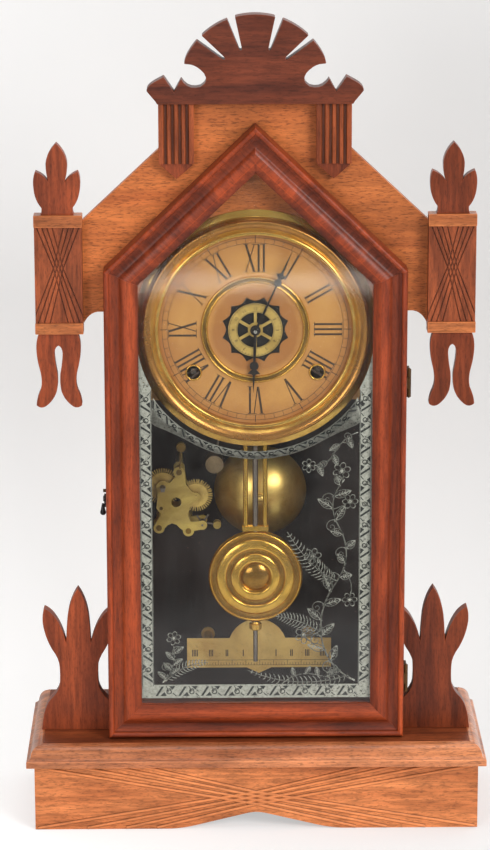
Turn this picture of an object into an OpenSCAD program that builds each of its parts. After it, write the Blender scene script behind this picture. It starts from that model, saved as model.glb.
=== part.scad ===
// Kitchen clock: carved walnut shelf case, pointed door with glass,
// eight-day time, strike and alarm movement. Millimetres, front faces -Y.

/* [Base] */
// half width of the skirt
skirt_half = 157; // [120:0.5:200]
// half depth of the skirt
skirt_deep = 57.5; // [40:0.5:80]
// height of the skirt
skirt_high = 51; // [30:0.5:80]
// thickness of the skirt boards
skirt_thick = 9; // [5:0.5:15]
// half width of the arch cut in the skirt
arch_half = 61; // [30:1:100]
// height of the arch
arch_high = 12.4; // [4:0.1:25]
// thickness of the platform board
plat_thick = 12; // [6:0.5:20]
// half width of the moulded platform
lip_half = 162.5; // [125:0.5:210]
// half depth of the moulded platform
lip_deep = 63; // [45:0.5:90]
// width of the moulding from flat top to lip
mould_wide = 10.5; // [5:0.5:15]

/* [Case] */
// outer half width of the case
case_half = 98; // [80:0.5:130]
// thickness of the case sides
side_thick = 8; // [5:0.5:12]
// top of the case
case_top_z = 436; // [400:1:480]
// front edge of the case sides
case_front = -25.2; // [-30:0.1:-15]
// thickness of the backboard
back_thick = 6; // [3:0.5:10]
// front plane of the fascia
fascia_front = -25; // [-30:0.5:-15]
// thickness of the fascia
fascia_thick = 8; // [4:0.5:12]
// lower edge of the fascia beside the door
fascia_low = 369.5; // [350:0.5:390]
// radius of the dial opening in the fascia
dial_open = 76.5; // [60:0.5:85]

/* [Door] */
// half width of the door
door_half = 104.3; // [80:0.1:130]
// bottom of the door
door_low = 64.3; // [63.5:0.1:70]
// height of the door shoulders
door_shoulder = 401.5; // [350:0.5:430]
// height of the door point
door_apex = 501.5; // [450:0.5:530]
// width of a door member
member = 23.5; // [15:0.5:30]
// front plane of the door
door_front = -46; // [-55:0.5:-35]
// back plane of the door
door_back = -26.2; // [-35:0.1:-20]
// front plane of the glass
glass_front = -40; // [-44:0.5:-35]
// thickness of the glass
glass_thick = 2; // [1:0.1:3]

/* [Ornament] */
// centre of capitals and their pieces
cap_x = 135.1; // [110:0.1:170]
// half width of a capital block
cap_half = 16.3; // [10:0.1:25]
// bottom of a capital block
cap_low = 364; // [340:0.5:390]
// top of a capital block
cap_high = 431; // [400:0.5:460]
// thickness of a thin carved board
carve_thick = 8; // [4:0.5:12]
// centre of the side crests
crest_x = 125.9; // [110:0.1:140]
// centre of the corbels
corbel_x = 53.7; // [40:0.1:70]
// front plane of the pediment
ped_front = -37; // [-45:0.5:-30]

/* [Dial] */
// height of the dial centre
dial_z = 357.2; // [330:0.1:380]
// radius of the bezel flange
flange_r = 84; // [70:0.5:95]
// radius of the bezel wall
bezel_r = 78.4; // [65:0.1:90]
// front plane of the dial paper
paper_front = -28; // [-32:0.1:-24]
// thickness of the dial sheet
dial_thick = 0.8; // [0.4:0.1:2]
// winding hole offset to the side
wind_x = 42.9; // [30:0.1:55]
// winding hole height
wind_z = 326.8; // [300:0.1:350]
// minute shown
show_minute = 4.07; // [0:0.01:59.9]
// hour shown
show_hour = 6; // [0:1:11]

/* [Movement] */
// half width of the movement plates
plate_half = 51; // [40:0.5:60]
// bottom of the plates
plate_low = 297; // [280:0.5:310]
// top of the plates
plate_high = 428; // [400:0.5:450]
// front of the back plate
plate_gap = 33.6; // [25:0.1:45]
// thickness of the plates
plate_thick = 1.6; // [1:0.1:3]
// running clearance of arbors in bores, radial
run = 0.05; // [0.01:0.01:0.1]
// share of the pitch filled by a tooth
tooth_share = 0.36; // [0.25:0.01:0.45]

/* [Pendulum and bell] */
// suspension height
hang_z = 335; // [320:0.5:345]
// plane of the pendulum
pend_y = -16; // [-20:0.5:-10]
// centre of the bob
bob_z = 175; // [150:0.5:200]
// radius of the bob
bob_r = 33.5; // [20:0.5:40]
// bell centre across
bell_x = 4.1; // [-10:0.1:20]
// bell centre height
bell_z = 224.6; // [200:0.1:240]
// radius of the bell
bell_r = 33.2; // [20:0.1:40]

/* [Hidden] */
$fn = 48;
plat_z = skirt_high + plat_thick;
lip_low = skirt_high - 3;
flat_half = lip_half - mould_wide;
flat_deep = lip_deep - mould_wide;
board_half = flat_half - 1;
case_in = case_half - side_thick;
case_back = lip_deep;
back_front = case_back - back_thick;
fascia_back = fascia_front + fascia_thick;
fascia_top = 521;
ped_low = 515.6;
hinge_leaf = 0.8;
roof = atan((door_apex - door_shoulder) / door_half);
rebate = 20.3;
glass_back = glass_front + glass_thick;
hinge_x = door_half + 2;
hinge_y = -33;
hinge_r = 1.6;
hinge_pin = 0.8;
hinge_zs = [104, 320];
latch_y = -36;
latch_z = 238.5;
latch_pin = 1;
bezel_in = bezel_r - 1.1;
post_r = 1.2;
pipe_in = 1.25;
pipe_out = 2;
keeper_reach = 20;
keeper_y = latch_y + keeper_reach;
keeper_r = 1.2;
minute_turn = show_minute * 6;
hour_turn = show_hour * 30 + show_minute / 2;
back_plate = plate_gap;
back_rear = plate_gap + plate_thick;

// train centres, front view
C = [0, dial_z];
G = [wind_x, wind_z];
gm = 0.7;
gn = 64;
pn = 8;
a2_dist = gm * (gn + pn) / 2;
a2_dir = 113.4;
A2 = G + a2_dist * [cos(a2_dir), sin(a2_dir)];
sn = 72;
cn = 40;
sm = 2 * norm(A2 - C) / (sn + cn);
wn = 96;
wm = 0.5;
A3 = C + wm * (wn + pn) / 2 * [cos(-67.5), sin(-67.5)];
tn = 96;
E = [0, 312];
tm = 2 * norm(A3 - E) / (tn + pn);
mm1 = 0.5;
mr1 = mm1 * (12 + 36) / 2;
M = C + mr1 * [cos(135), sin(135)];
mm2 = 2 * mr1 / (10 + 40);
GL = [-wind_x, wind_z];
AL = [-A2[0], A2[1]];
pw_m = 0.6;
W = AL + pw_m * (72 + pn) / 2 * [cos(104.5), sin(104.5)];
F = W + 0.5 * (60 + pn) / 2 * [cos(26.5), sin(26.5)];
K = AL + 0.45 * (78 + pn) / 2 * [cos(66.5), sin(66.5)];
HA = [-18, 308];
great_r = 2.6;
boss_r = 1.5;
pillars = [[-30.5, 303.5], [30.5, 303.5], [-41, 424], [41, 424]];

// alarm unit
alarm_y = 10;
AM = [-65.5, 233];
AE = [-42, 226.3];
AH = [-37.5, 204.9];
alarm_gap = 13;

function bend(p, q, r, n = 6) =
  [for (i = [1:n]) let (t = i / n) (1 - t) * (1 - t) * p + 2 * t * (1 - t) * q + t * t * r];
function arc(c, r, a, b, n = 8) =
  [for (i = [0:n]) let (t = a + (b - a) * i / n) c + r * [cos(t), sin(t)]];
function half(p) = concat(p, [for (i = [len(p) - 1:-1:0]) if (p[i][0] > 0.001) [-p[i][0], p[i][1]]]);
function mesh(al, na, pa, nb) = al + 180 - 360 / nb * (0.5 - (al - pa) * na / 360);
function dir(a, b) = atan2(b[1] - a[1], b[0] - a[0]);
function door_pts(w) = let (h = door_half - w, b = door_low + w,
  s = door_shoulder + w * tan(roof) - w / cos(roof), a = door_apex - w / cos(roof))
  [[-h, b], [h, b], [h, s], [0, a], [-h, s]];

module board(front, thick) {
  translate([0, front + thick, 0]) rotate([90, 0, 0]) linear_extrude(thick) children();
}
module both_sides() {
  children();
  mirror([1, 0, 0]) children();
}
module turned(p) {
  translate([p[0], 0, p[1]]) rotate([-90, 0, 0]) rotate_extrude() children();
}
module shaft(p, r, a, b) {
  translate([p[0], a, p[1]]) rotate([-90, 0, 0]) cylinder(h = b - a, r = r, $fn = 32);
}
module bar(p, q, w) {
  translate(p) rotate(dir(p, q)) translate([0, -w / 2]) square([norm(q - p), w]);
}
module ring(p, r, a, b, bore) {
  difference() {
    shaft(p, r, a, b);
    shaft(p, bore, a - 1, b + 1);
  }
}
module wire(p, q, r) {
  d = q - p;
  l = norm(d);
  translate(p) rotate([0, acos(d[2] / l), atan2(d[1], d[0])]) cylinder(h = l, r = r, $fn = 16);
}
module toothed(n, m, ph = 0, bore = 0, add = 0.8, ded = 1.25, spokes = 0, rim = 2, hub = 4) {
  rp = n * m / 2;
  s = 360 / n;
  w = tooth_share * s / 2;
  difference() {
    polygon([for (i = [0:n - 1]) let (c = ph + i * s)
      each [(rp - ded * m) * [cos(c - 1.15 * w), sin(c - 1.15 * w)],
      rp * [cos(c - w), sin(c - w)], (rp + add * m) * [cos(c - 0.45 * w), sin(c - 0.45 * w)],
      (rp + add * m) * [cos(c + 0.45 * w), sin(c + 0.45 * w)], rp * [cos(c + w), sin(c + w)],
      (rp - ded * m) * [cos(c + 1.15 * w), sin(c + 1.15 * w)]]]);
    if (bore > 0) circle(bore, $fn = 32);
    if (spokes > 0) difference() {
      circle(rp - ded * m - rim);
      circle(hub);
      for (i = [0:spokes - 1]) rotate(ph + i * 360 / spokes) translate([0, -1]) square([rp, 2]);
    }
  }
}
module gear(p, a, t, n, m, ph = 0, bore = 0, spokes = 4, hub = 4, rim = 2) {
  translate([p[0], a + t, p[1]]) rotate([90, 0, 0]) linear_extrude(t)
    toothed(n, m, ph, bore, spokes = spokes, rim = rim, hub = hub);
}
// lantern pinion: pins on the pitch circle between two shrouds
module lantern(p, a, b, n, m, ph) {
  rp = n * m / 2;
  shaft(p, rp + 0.9, a, a + 0.7);
  shaft(p, rp + 0.9, b - 0.7, b);
  for (i = [0:n - 1]) shaft(p + rp * [cos(ph + i * 360 / n), sin(ph + i * 360 / n)],
    0.4 * m, a + 0.3, b - 0.3, $fn = 12);
}

// base
module base_front() color("peru") difference() {
  linear_extrude(skirt_high) polygon([[-skirt_half, -skirt_deep], [skirt_half, -skirt_deep],
    [skirt_half - skirt_thick, skirt_thick - skirt_deep],
    [skirt_thick - skirt_half, skirt_thick - skirt_deep]]);
  board(-skirt_deep - 1, skirt_thick + 2) polygon(half(concat([[0, -1], [arch_half, -1]],
    bend([arch_half, 0], [arch_half - 9, 0.4], [arch_half - 18, 2.6], 4), [[8, arch_high - 1.2]],
    bend([8, arch_high - 1.2], [3, arch_high], [0, arch_high], 3))));
  board(-skirt_deep - 1, 1.8) intersection() {
    translate([3 - skirt_half, 1.3]) square([2 * skirt_half - 6, skirt_high - 2.6]);
    both_sides_2d(0) for (i = [0:1]) {
      m = 22.3 + (0.5 - i) * 2.3;
      l = m + 170 * tan(12.5 - 1.1 * i);
      r = m - 170 * tan(11.2 + 1.4 * i);
      polygon([[-170, l], [0, m], [170, r], [170, r + 1.1], [0, m + 1.1], [-170, l + 1.1]]);
    }
  }
}
module base_sides() color("peru") {
  difference() {
    both_sides() linear_extrude(skirt_high) polygon([[skirt_half, -skirt_deep],
      [skirt_half, skirt_deep], [skirt_half - skirt_thick, skirt_deep],
      [skirt_half - skirt_thick, skirt_thick - skirt_deep]]);
    both_sides() translate([skirt_half - skirt_thick - 1, skirt_deep - 15, 8])
      cube([skirt_thick / 2 + 1, skirt_thick, skirt_high]);
  }
  translate([skirt_thick / 2 - skirt_half, skirt_deep - 15, 8])
    cube([2 * skirt_half - skirt_thick, skirt_thick, skirt_high - 8]);
}
module platform_board() color("chocolate") translate([-board_half, -flat_deep + 1, skirt_high])
  cube([2 * board_half, flat_deep - 1 + lip_deep, plat_thick]);
module mould_2d(under) {
  polygon(concat([[-1, skirt_high], [under, skirt_high], [under, lip_low],
    [mould_wide, lip_low], [mould_wide, 52.6], [mould_wide - 0.7, 53.2]],
    bend([mould_wide - 0.7, 53.2], [mould_wide - 3, 53.6], [mould_wide - 3.1, 56], 5),
    [[mould_wide - 3.1, 56.6]],
    bend([mould_wide - 3.1, 56.6], [mould_wide - 4.4, 62.2], [0.6, plat_z - 0.3], 8),
    [[0, plat_z], [-1, plat_z]]));
}
module platform_mouldings() color("chocolate") {
  intersection() {
    translate([lip_half, -flat_deep, 0]) rotate([90, 0, -90]) linear_extrude(2 * lip_half)
      mould_2d(skirt_deep - flat_deep);
    linear_extrude(100) polygon([[-lip_half, -lip_deep], [lip_half, -lip_deep],
      [lip_half - 20, 20 - lip_deep], [20 - lip_half, 20 - lip_deep]]);
  }
  both_sides() intersection() {
    translate([flat_half, lip_deep, 0]) rotate([90, 0, 0]) linear_extrude(2 * lip_deep)
      mould_2d(skirt_half - flat_half);
    linear_extrude(100) polygon([[lip_half, -lip_deep], [lip_half, lip_deep],
      [lip_half - 20, lip_deep], [lip_half - 20, 20 - lip_deep]]);
  }
}
module glue_blocks() color("burlywood") {
  both_sides() {
    translate([skirt_half - skirt_thick - 16, skirt_thick - skirt_deep, skirt_high - 26])
      cube([16, 16, 26]);
    translate([skirt_half - skirt_thick - 12, skirt_deep - 15 - 14, skirt_high - 26])
      cube([12, 14, 26]);
    translate([4, fascia_front, fascia_top]) cube([11, 12, 24]);
    difference() {
      translate([54, fascia_front, dial_z - 51]) cube([case_in - 54, 9, 16]);
      shaft(C, dial_open, -40, 0, $fn = 96);
    }
  }
}

// case
module case_sides() color("saddlebrown") difference() {
  both_sides() difference() {
    translate([case_in, case_front, plat_z])
      cube([side_thick, case_back - case_front, case_top_z - plat_z]);
    translate([case_in - 1, case_front - 1, fascia_low - 0.2])
      cube([side_thick + 2, fascia_back - case_front + 1, 200]);
  }
  case_screws();
}
module case_top() color("saddlebrown") translate([-case_in, fascia_back, case_top_z - 7])
  cube([2 * case_in, back_front - fascia_back, 7]);
module backboard() color("sienna") translate([-case_in, back_front, plat_z])
  cube([2 * case_in, back_thick, case_top_z - plat_z]);
module fascia_board() color("peru") board(fascia_front, fascia_thick) difference() {
  polygon(half(concat([[0, fascia_top], [66, fascia_top], [66, 483], [119, 433.5],
    [cap_x + 15, 433.5], [cap_x + 15, 358], [119, 358], [119, 360.6]],
    bend([119, 360.6], [115.4, 368.6], [109, fascia_low], 6),
    [[70, fascia_low], [70, dial_z], [0, dial_z]])));
  translate(C) circle(dial_open, $fn = 96);
}
module capital_blocks() color("saddlebrown") both_sides() difference() {
  translate([cap_x - cap_half, -36, cap_low]) cube([2 * cap_half, 36 + fascia_front, cap_high - cap_low]);
  board(-37, 1.8) for (s = [-1, 1], i = [0:3]) {
    m = [cap_x + s * (i - 1.5) * 2.2, (cap_low + cap_high) / 2 + 5];
    bar(m, m + [-s * (16 + (1.5 - i) * 2.4) , 50], 0.9);
    bar(m, m + [s * (16 - (1.5 - i) * 2.4), -50], 0.9);
  }
}
module capital_caps() color("peru") both_sides() for (z = [cap_high, cap_low - 7.7])
  translate([cap_x - cap_half - 0.3, -37.3, z])
    cube([2 * cap_half + 0.6, 37.3 + fascia_front, z > cap_low ? 8.5 : 7.7]);
module finials() color("saddlebrown") board(-35, carve_thick) both_sides_2d(cap_x + 0.3)
  polygon(half(concat([[0, 489]], bend([0, 489], [6.6, 482.6], [7.3, 475]),
    bend([7.3, 475], [7.4, 469], [5.6, 462.4], 4), bend([5.6, 462.4], [8.4, 467.4], [14.5, 469.6]),
    bend([14.5, 469.6], [16.6, 465], [15.8, 458]), bend([15.8, 458], [15.2, 449.6], [10.6, 444.4]),
    bend([10.6, 444.4], [10.4, 441.6], [11.4, 439.5], 3))));
module both_sides_2d(x) {
  translate([x, 0]) children();
  mirror([1, 0]) translate([x, 0]) children();
}
module pendants() color("saddlebrown") board(-35, carve_thick) both_sides_2d(cap_x + 0.9)
  polygon(half(concat([[13.4, cap_low - 7.7]],
    bend([13.4, cap_low - 7.7], [15.4, 351.5], [15.3, 346]),
    bend([15.3, 346], [15.2, 339], [13.4, 332]), bend([13.4, 332], [10.6, 322], [13.2, 315.5]),
    bend([13.2, 315.5], [15.6, 310.6], [15.8, 305.4]), bend([15.8, 305.4], [12.6, 302.4], [9, 304.9]),
    bend([9, 304.9], [3.6, 309], [1.6, 315.4]), bend([1.6, 315.4], [0.4, 321], [1, 328]),
    bend([1, 328], [2.6, 336], [2.8, 342.5]), bend([2.8, 342.5], [2.4, 347], [0, 347.8], 4))));
module corbels() color("brown") both_sides() {
  difference() {
    translate([corbel_x - 12, -33, 474]) cube([24, 33 + fascia_front, ped_low - 474]);
    for (i = [0:3]) translate([corbel_x + (i - 1.5) * 4.9, -33.3, 470]) cylinder(h = 60, r = 1.5, $fn = 20);
  }
  board(-31, 31 + fascia_front) polygon([[corbel_x - 10.9, 474], [corbel_x + 10.9, 474],
    [corbel_x + 10.9, 472.8], [corbel_x, 463.4], [corbel_x - 10.9, 472.8]]);
}
module pediment() color("maroon") board(ped_front, fascia_front - ped_front) difference() {
  polygon(half(concat([[0, 524 + 52.5]],
    [for (a = [86:-4:30]) [0, 524] + 52.5 * [cos(a), sin(a)]],
    bend([45.47, 550.25], [47.6, 546.6], [48, 543.1], 3), [[43.4, 542.6]],
    bend([43.4, 542.6], [38.6, 541.4], [34.6, 536.6], 4), bend([34.6, 536.6], [30.9, 531.2], [37, 527.6], 4),
    bend([37, 527.6], [45.4, 524.9], [50.1, 532.9], 5), [[54.9, 524.1], [61.9, 534.3], [68.3, 530.9]],
    bend([68.3, 530.9], [73.9, 527.6], [73.5, 524.6], 4), [[67.4, 517.3], [66.5, ped_low], [0, ped_low]])));
  both_sides_2d(0) {
    polygon(concat([[14.2, 577.6], [9.0, 553.4]], bend([9, 553.4], [8.9, 551.4], [10.6, 552.6], 4),
      [[19.9, 575.6]]));
    polygon(concat([[41.2, 560], [22.4, 546.4]], bend([22.4, 546.4], [20, 545], [20.6, 547.4], 4),
      [[38.4, 564.4]]));
  }
}
module side_crests() color("saddlebrown") board(-24, 10) both_sides_2d(crest_x)
  polygon(half(concat([[0, 168.5]], bend([0, 168.5], [5.8, 160.6], [7.5, 148]),
    bend([7.5, 148], [8.4, 139], [8.8, 128.4], 4), bend([8.8, 128.4], [11.6, 140.6], [17, 148]),
    bend([17, 148], [20, 152], [24, 153.8], 4), bend([24, 153.8], [25.6, 150], [25.2, 143]),
    bend([25.2, 143], [24, 133], [19, 123.6]), bend([19, 123.6], [13.7, 116], [13.7, 110], 4),
    bend([13.7, 110], [13.3, 104], [13.8, 97]), bend([13.8, 97], [15, 91], [20.4, 86]),
    bend([20.4, 86], [25.4, 80], [26.6, 67]), [[27.2, plat_z], [0, plat_z]])));

// door
module member_2d() {
  e = door_front;
  polygon(concat([[0, door_back]], [for (a = [0:20:180]) [-2 + 2 * cos(a), e + 2 - 2 * sin(a)]],
    [[-4, e + 3.2], [-5, e + 3.4]],
    bend([-5, e + 3.4], [-7, e + 5.6], [-10.5, e + 4.4], 5),
    bend([-10.5, e + 4.4], [-13, e + 1.5], [-18, e + 1.5], 6),
    [[-member, e + 4.8], [-member, glass_front], [-rebate, glass_front], [-rebate, door_back]]));
}
module member_bar(l) linear_extrude(l) member_2d();
module leaf_screws() for (z = hinge_zs, d = [-6.5, 6.5])
  translate([door_half - 8, hinge_y + 3, z + d]) rotate([0, 90, 0]) cylinder(h = 8.2, r = 1.1, $fn = 20);
module case_screws() {
  for (z = hinge_zs, d = [-5, 5]) translate([case_half - 6, -10 - d, z + d]) rotate([0, 90, 0])
    cylinder(h = 7.6, r = 1.4, $fn = 20);
  translate([-case_half - 9.2, keeper_y, latch_z]) rotate([0, 90, 0]) cylinder(h = 15, r = keeper_r);
}
module door_stiles() color("sienna") difference() {
  both_sides() intersection() {
    translate([door_half, 0, 0]) member_bar(500);
    board(-60, 50) polygon([door_pts(0)[1], door_pts(0)[2], door_pts(member)[2], door_pts(member)[1]]);
  }
  for (z = hinge_zs) translate([door_half - hinge_leaf, hinge_y - 6, z - 10]) cube([3, 12, 20]);
  leaf_screws();
  translate([-door_half - 1, latch_y, latch_z]) rotate([0, 90, 0]) cylinder(h = 7, r = latch_pin + run);
}
module door_bottom_rail() color("sienna") intersection() {
  translate([-150, 0, door_low]) rotate([0, 90, 0]) member_bar(300);
  board(-60, 50) polygon([door_pts(0)[0], door_pts(0)[1], door_pts(member)[1], door_pts(member)[0]]);
}
module door_rafters() color("sienna") both_sides() intersection() {
  translate([door_half, 0, door_shoulder]) rotate([0, roof - 90, 0]) translate([0, 0, -30]) member_bar(240);
  board(-60, 50) polygon([door_pts(0)[2], door_pts(0)[3], door_pts(member)[3], door_pts(member)[2]]);
}
module door_glass() color("lightblue") board(glass_front, glass_thick) polygon(door_pts(rebate));
module glazing_strips() color("sienna") board(glass_back, 4) difference() {
  polygon(door_pts(rebate));
  polygon(door_pts(member - 0.2));
}
module door_latch() color("dimgray") {
  x = -door_half - 0.3;
  translate([x - 1.2, latch_y, latch_z]) {
    rotate([0, 90, 0]) cylinder(h = 1.2, r = 3.4);
    translate([-0.7, 0, 0]) rotate([0, 90, 0]) cylinder(h = 1, r = 2);
    rotate([0, 90, 0]) cylinder(h = 6.4, r = latch_pin);
    rotate([90, 0, 90]) linear_extrude(1.2) rotate(-20) latch_arm_2d();
    translate([0, -1.2, -6]) cube([1.2, 2.4, 6]);
  }
  translate([x - 2.1, latch_y, latch_z - 10]) rotate_extrude()
    polygon(concat(arc([0, 0], 2.1, -90, 30, 8), [[1.5, 2.4], [1, 5], [0.8, 6.4], [0, 6.4]]));
}
// arm drawn along +x from the pivot, notch open to +y
module latch_arm_2d() difference() {
  union() {
    translate([0, -1.6]) square([keeper_reach + 4.4, 3.2]);
    translate([keeper_reach - 4, -3]) square([8.4, 5.6]);
  }
  translate([keeper_reach, -0.2]) circle(keeper_r + 0.5, $fn = 24);
  translate([keeper_reach - keeper_r - 0.5, -0.2]) square([2 * keeper_r + 1, 5]);
}
module door_hinge_leaves() color("darkgoldenrod") {
  difference() {
    for (z = hinge_zs) {
      translate([door_half - hinge_leaf, hinge_y - 6, z - 10]) cube([hinge_leaf, 12, 20]);
      translate([door_half - 0.1, hinge_y - hinge_r, z - 4]) cube([hinge_x - door_half, 2 * hinge_r, 8]);
      translate([hinge_x, hinge_y, z - 4]) cylinder(h = 8, r = hinge_r);
    }
    for (z = hinge_zs) translate([hinge_x, hinge_y, z - 5]) cylinder(h = 10, r = hinge_pin + run, $fn = 32);
  }
  leaf_screws();
}
module case_hinge_leaves() color("darkgoldenrod") {
  for (z = hinge_zs) {
    for (s = [-1, 1]) translate([0, 0, z + s * 7.1 - 2.8]) {
      translate([hinge_x, hinge_y, 0]) cylinder(h = 5.6, r = hinge_r);
      translate([hinge_x - 0.6, hinge_y + 0.8, 0]) cube([1.2, 8.8, 5.6]);
    }
    translate([hinge_x, hinge_y, z - 10.6]) cylinder(h = 21.2, r = hinge_pin, $fn = 32);
    translate([case_half, -24.6, z - 9.9]) cube([hinge_x + 0.6 - case_half, 1.2, 19.8]);
    translate([case_half, -24.6, z - 9.9]) cube([1.2, 22, 19.8]);
  }
  case_screws();
}

// dial
module dial_plate() color("navajowhite") board(paper_front, dial_thick) translate(C) difference() {
  circle(bezel_in, $fn = 96);
  polygon([for (k = [0:11], j = [0:5]) let (t = j / 3 - 1, a = k * 30 + (j / 6) * 30 + 15,
    r = 20.4 + 3.3 * t * t) r * [cos(a), sin(a)]]);
  for (s = [-1, 1]) translate([s * wind_x, wind_z - dial_z]) circle(5.2);
}
module dial_bezel() color("gold") turned(C, $fn = 96) polygon(concat(
  [[flange_r, fascia_front], [flange_r, fascia_front - 0.8], [79.4, fascia_front - 0.9],
  [78.6, -26.8], [bezel_r, -28], [bezel_r - 0.3, -35]],
  bend([bezel_r - 0.3, -35], [77.6, -36.4], [76.4, -36.4], 4),
  bend([76.4, -36.4], [73.4, -35.9], [70.6, -32.4], 5), [[70.1, -31.8]],
  [for (a = [20:20:160]) [68.5 + 1.6 * cos(a), -31.6 - 1.6 * sin(a)]],
  [[66.9, -31.4], [66.7, paper_front], [67.6, paper_front], [67.8, -30.8], [70.6, -30.9]],
  bend([70.6, -30.9], [73.6, -34.6], [76.2, -35.4], 4),
  [[77.1, -34.6], [bezel_in, -28.2], [bezel_in, fascia_front]]));
module dial_trim() color("gold") {
  turned(C) polygon(concat([[30.4, paper_front]], arc([31.5, -29.2], 0.9, 190, 350, 5),
    [[33.2, -28.8], [34.8, -28.8]], arc([36.4, -29.2], 0.9, 190, 350, 5), [[37.6, paper_front]]));
  for (s = [-1, 1]) turned([s * wind_x, wind_z]) polygon([[4.6, -27], [4.6, -29], [5.1, -29.4],
    [5.85, -28.9], [5.85, paper_front], [5.2, paper_front], [5.2, -27]]);
}

// movement
module plate_2d(holes) difference() {
  polygon([[-plate_half, plate_low + 4], [4 - plate_half, plate_low], [plate_half - 4, plate_low],
    [plate_half, plate_low + 4], [plate_half, plate_high - 4], [plate_half - 4, plate_high],
    [4 - plate_half, plate_high], [-plate_half, plate_high - 4]]);
  for (h = holes) translate(h[0]) circle(h[1], $fn = 32);
  for (p = pillars) translate(p) circle(1.7, $fn = 32);
  translate([12, 376]) square([26, 38]);
  translate([-34, 396]) square([40, 18]);
}
pivots = [[A2, 0.9], [AL, 0.9], [A3, 0.8], [W, 0.8], [F, 0.8], [HA, 1]];
module movement_front_plate() color("goldenrod") {
  board(0, plate_thick) plate_2d(concat(pivots,
    [[G, great_r + run], [GL, great_r + run], [C, boss_r + run], [E, 0.9]]));
  shaft([0, hang_z], post_r, pend_y - 2.6, 0.2);
  shaft([0, hang_z], 3, -0.8, 0);
  shaft([0, hang_z], 1.9, pend_y - 3, pend_y - 1.6);
  shaft(M, 1, -7.2, 0.2);
  shaft(M, 1.7, -7.8, -7);
}
module movement_back_plate() color("goldenrod") {
  board(back_plate, plate_thick) plate_2d(concat(pivots,
    [[G, 1.5 + run], [GL, 1.5 + run], [C, 1], [E, 0.8]]));
  shaft(K, 1, back_rear - 0.2, back_rear + 4);
  shaft(K, 2, back_rear + 3.6, back_rear + 4.2);
}
module movement_pillars() color("goldenrod") for (p = pillars) {
  shaft(p, 2.8, plate_thick, back_plate);
  shaft(p, 1.7, -0.6, back_rear);
  shaft(p, 2.6, -1.6, 0);
  shaft(p, 3.4, back_rear, back_front);
}
function coil(r0, r1, n, t, end) = let (s = n * 24) concat(
  [for (i = [0:s]) (r0 + (r1 - r0) * i / s + t / 2) * [cos(end + (i - s) * 15), sin(end + (i - s) * 15)]],
  [for (i = [s:-1:0]) (r0 + (r1 - r0) * i / s - t / 2) * [cos(end + (i - s) * 15), sin(end + (i - s) * 15)]]);
module mainsprings() color("steelblue") {
  both_sides() board(14.2, 17.3) {
    translate(G) polygon(coil(4.8, 19.4, 6, 0.5, dir(G, pillars[1])));
    difference() {
      bar(G + 19.4 * [cos(dir(G, pillars[1])), sin(dir(G, pillars[1]))], pillars[1], 1);
      translate(pillars[1]) circle(2.8);
    }
  }
  board(alarm_y + 6.5, 6) {
    translate(AM) polygon(coil(3.4, 9.6, 4, 0.4, dir(AM, lugs[0])));
    difference() {
      bar(AM + 9.6 * [cos(dir(AM, lugs[0])), sin(dir(AM, lugs[0]))], lugs[0], 0.8);
      translate(lugs[0]) circle(1.8);
    }
  }
}
module winding_arbor(p) {
  shaft(p, great_r, 0, 32.6);
  difference() {
    shaft(p, great_r, -24, 0.5);
    for (a = [0:90:270]) translate([p[0], 0, p[1]]) rotate([0, a, 0]) translate([1.85, -25, -3]) cube([3, 17, 6]);
  }
  shaft(p, 1.5, 32, back_rear + 0.6);
  shaft(p, 4.4, 8.2, 9.7);
  translate([p[0], 13.4, p[1]]) rotate([90, 0, 0]) linear_extrude(1.1)
    polygon([for (i = [0:23]) each [9 * [cos(i * 15), sin(i * 15)], 7.8 * [cos(i * 15 + 3), sin(i * 15 + 3)]]]);
  shaft(p, 4.2, 13.2, 31.6);
}
module time_winding_arbor() color("silver") winding_arbor(G);
module strike_winding_arbor() color("silver") winding_arbor(GL);
module great(p, ph) {
  gear(p, 10, 2, gn, gm, ph, great_r + run, spokes = 6, hub = 6.6);
  for (a = [0, 180]) rotate_on(p, a) {
    shaft([12.4, 0], 1.4, 11.8, 13.2);
    board(12, 1.1) polygon([[12, 1], [12.8, -1], [9.7, 3.4], [9.6, 4.4]]);
  }
}
module rotate_on(p, a) translate([p[0], 0, p[1]]) rotate([0, -a, 0]) children();
module time_great_wheel() color("gold") great(G, 0);
module strike_great_wheel() color("gold") great(GL, 0);
module arbor(p, r, rp, a = 2.2, b = 33) {
  shaft(p, r, a, b);
  shaft(p, rp - run, -0.5, a + 0.2);
  shaft(p, rp - run, b - 0.2, back_rear + 0.5);
}
module time_second_wheel() color("gold") {
  gear(A2, 3, 1.2, sn, sm, 0, hub = 3);
  shaft(A2, 2, 2.8, 5);
  lantern(A2, 8.6, 13.4, pn, gm, mesh(dir(G, A2), gn, 0, pn));
  arbor(A2, 1.2, 0.9);
}
module hand_pin(r) translate([C[0] - 3.4, -35.1, C[1]]) rotate([0, 90, 0]) cylinder(h = 6.8, r = r, $fn = 16);
module centre_arbor() color("gold") {
  gear(C, 3, 1.2, cn, sm, mesh(dir(A2, C), sn, 0, cn), spokes = 0);
  gear(C, 6, 1.2, wn, wm, 0);
  shaft(C, 3, 4, 8.4);
  gear(C, -3.6, 1.7, 12, mm1, 0, spokes = 0);
  shaft(C, boss_r, -3.8, 33);
  shaft(C, 1 - run, 32.8, back_rear + 0.6);
  difference() {
    shaft(C, pipe_in - run, -36.2, -3.6);
    hand_pin(0.38);
  }
}
module time_third_wheel() color("gold") {
  gear(A3, 8.1, 1, tn, tm, 0, hub = 3);
  shaft(A3, 2, 7.9, 10.4);
  lantern(A3, 4.9, 8, pn, wm, mesh(dir(C, A3), wn, 0, pn));
  arbor(A3, 1, 0.8);
}
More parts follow.
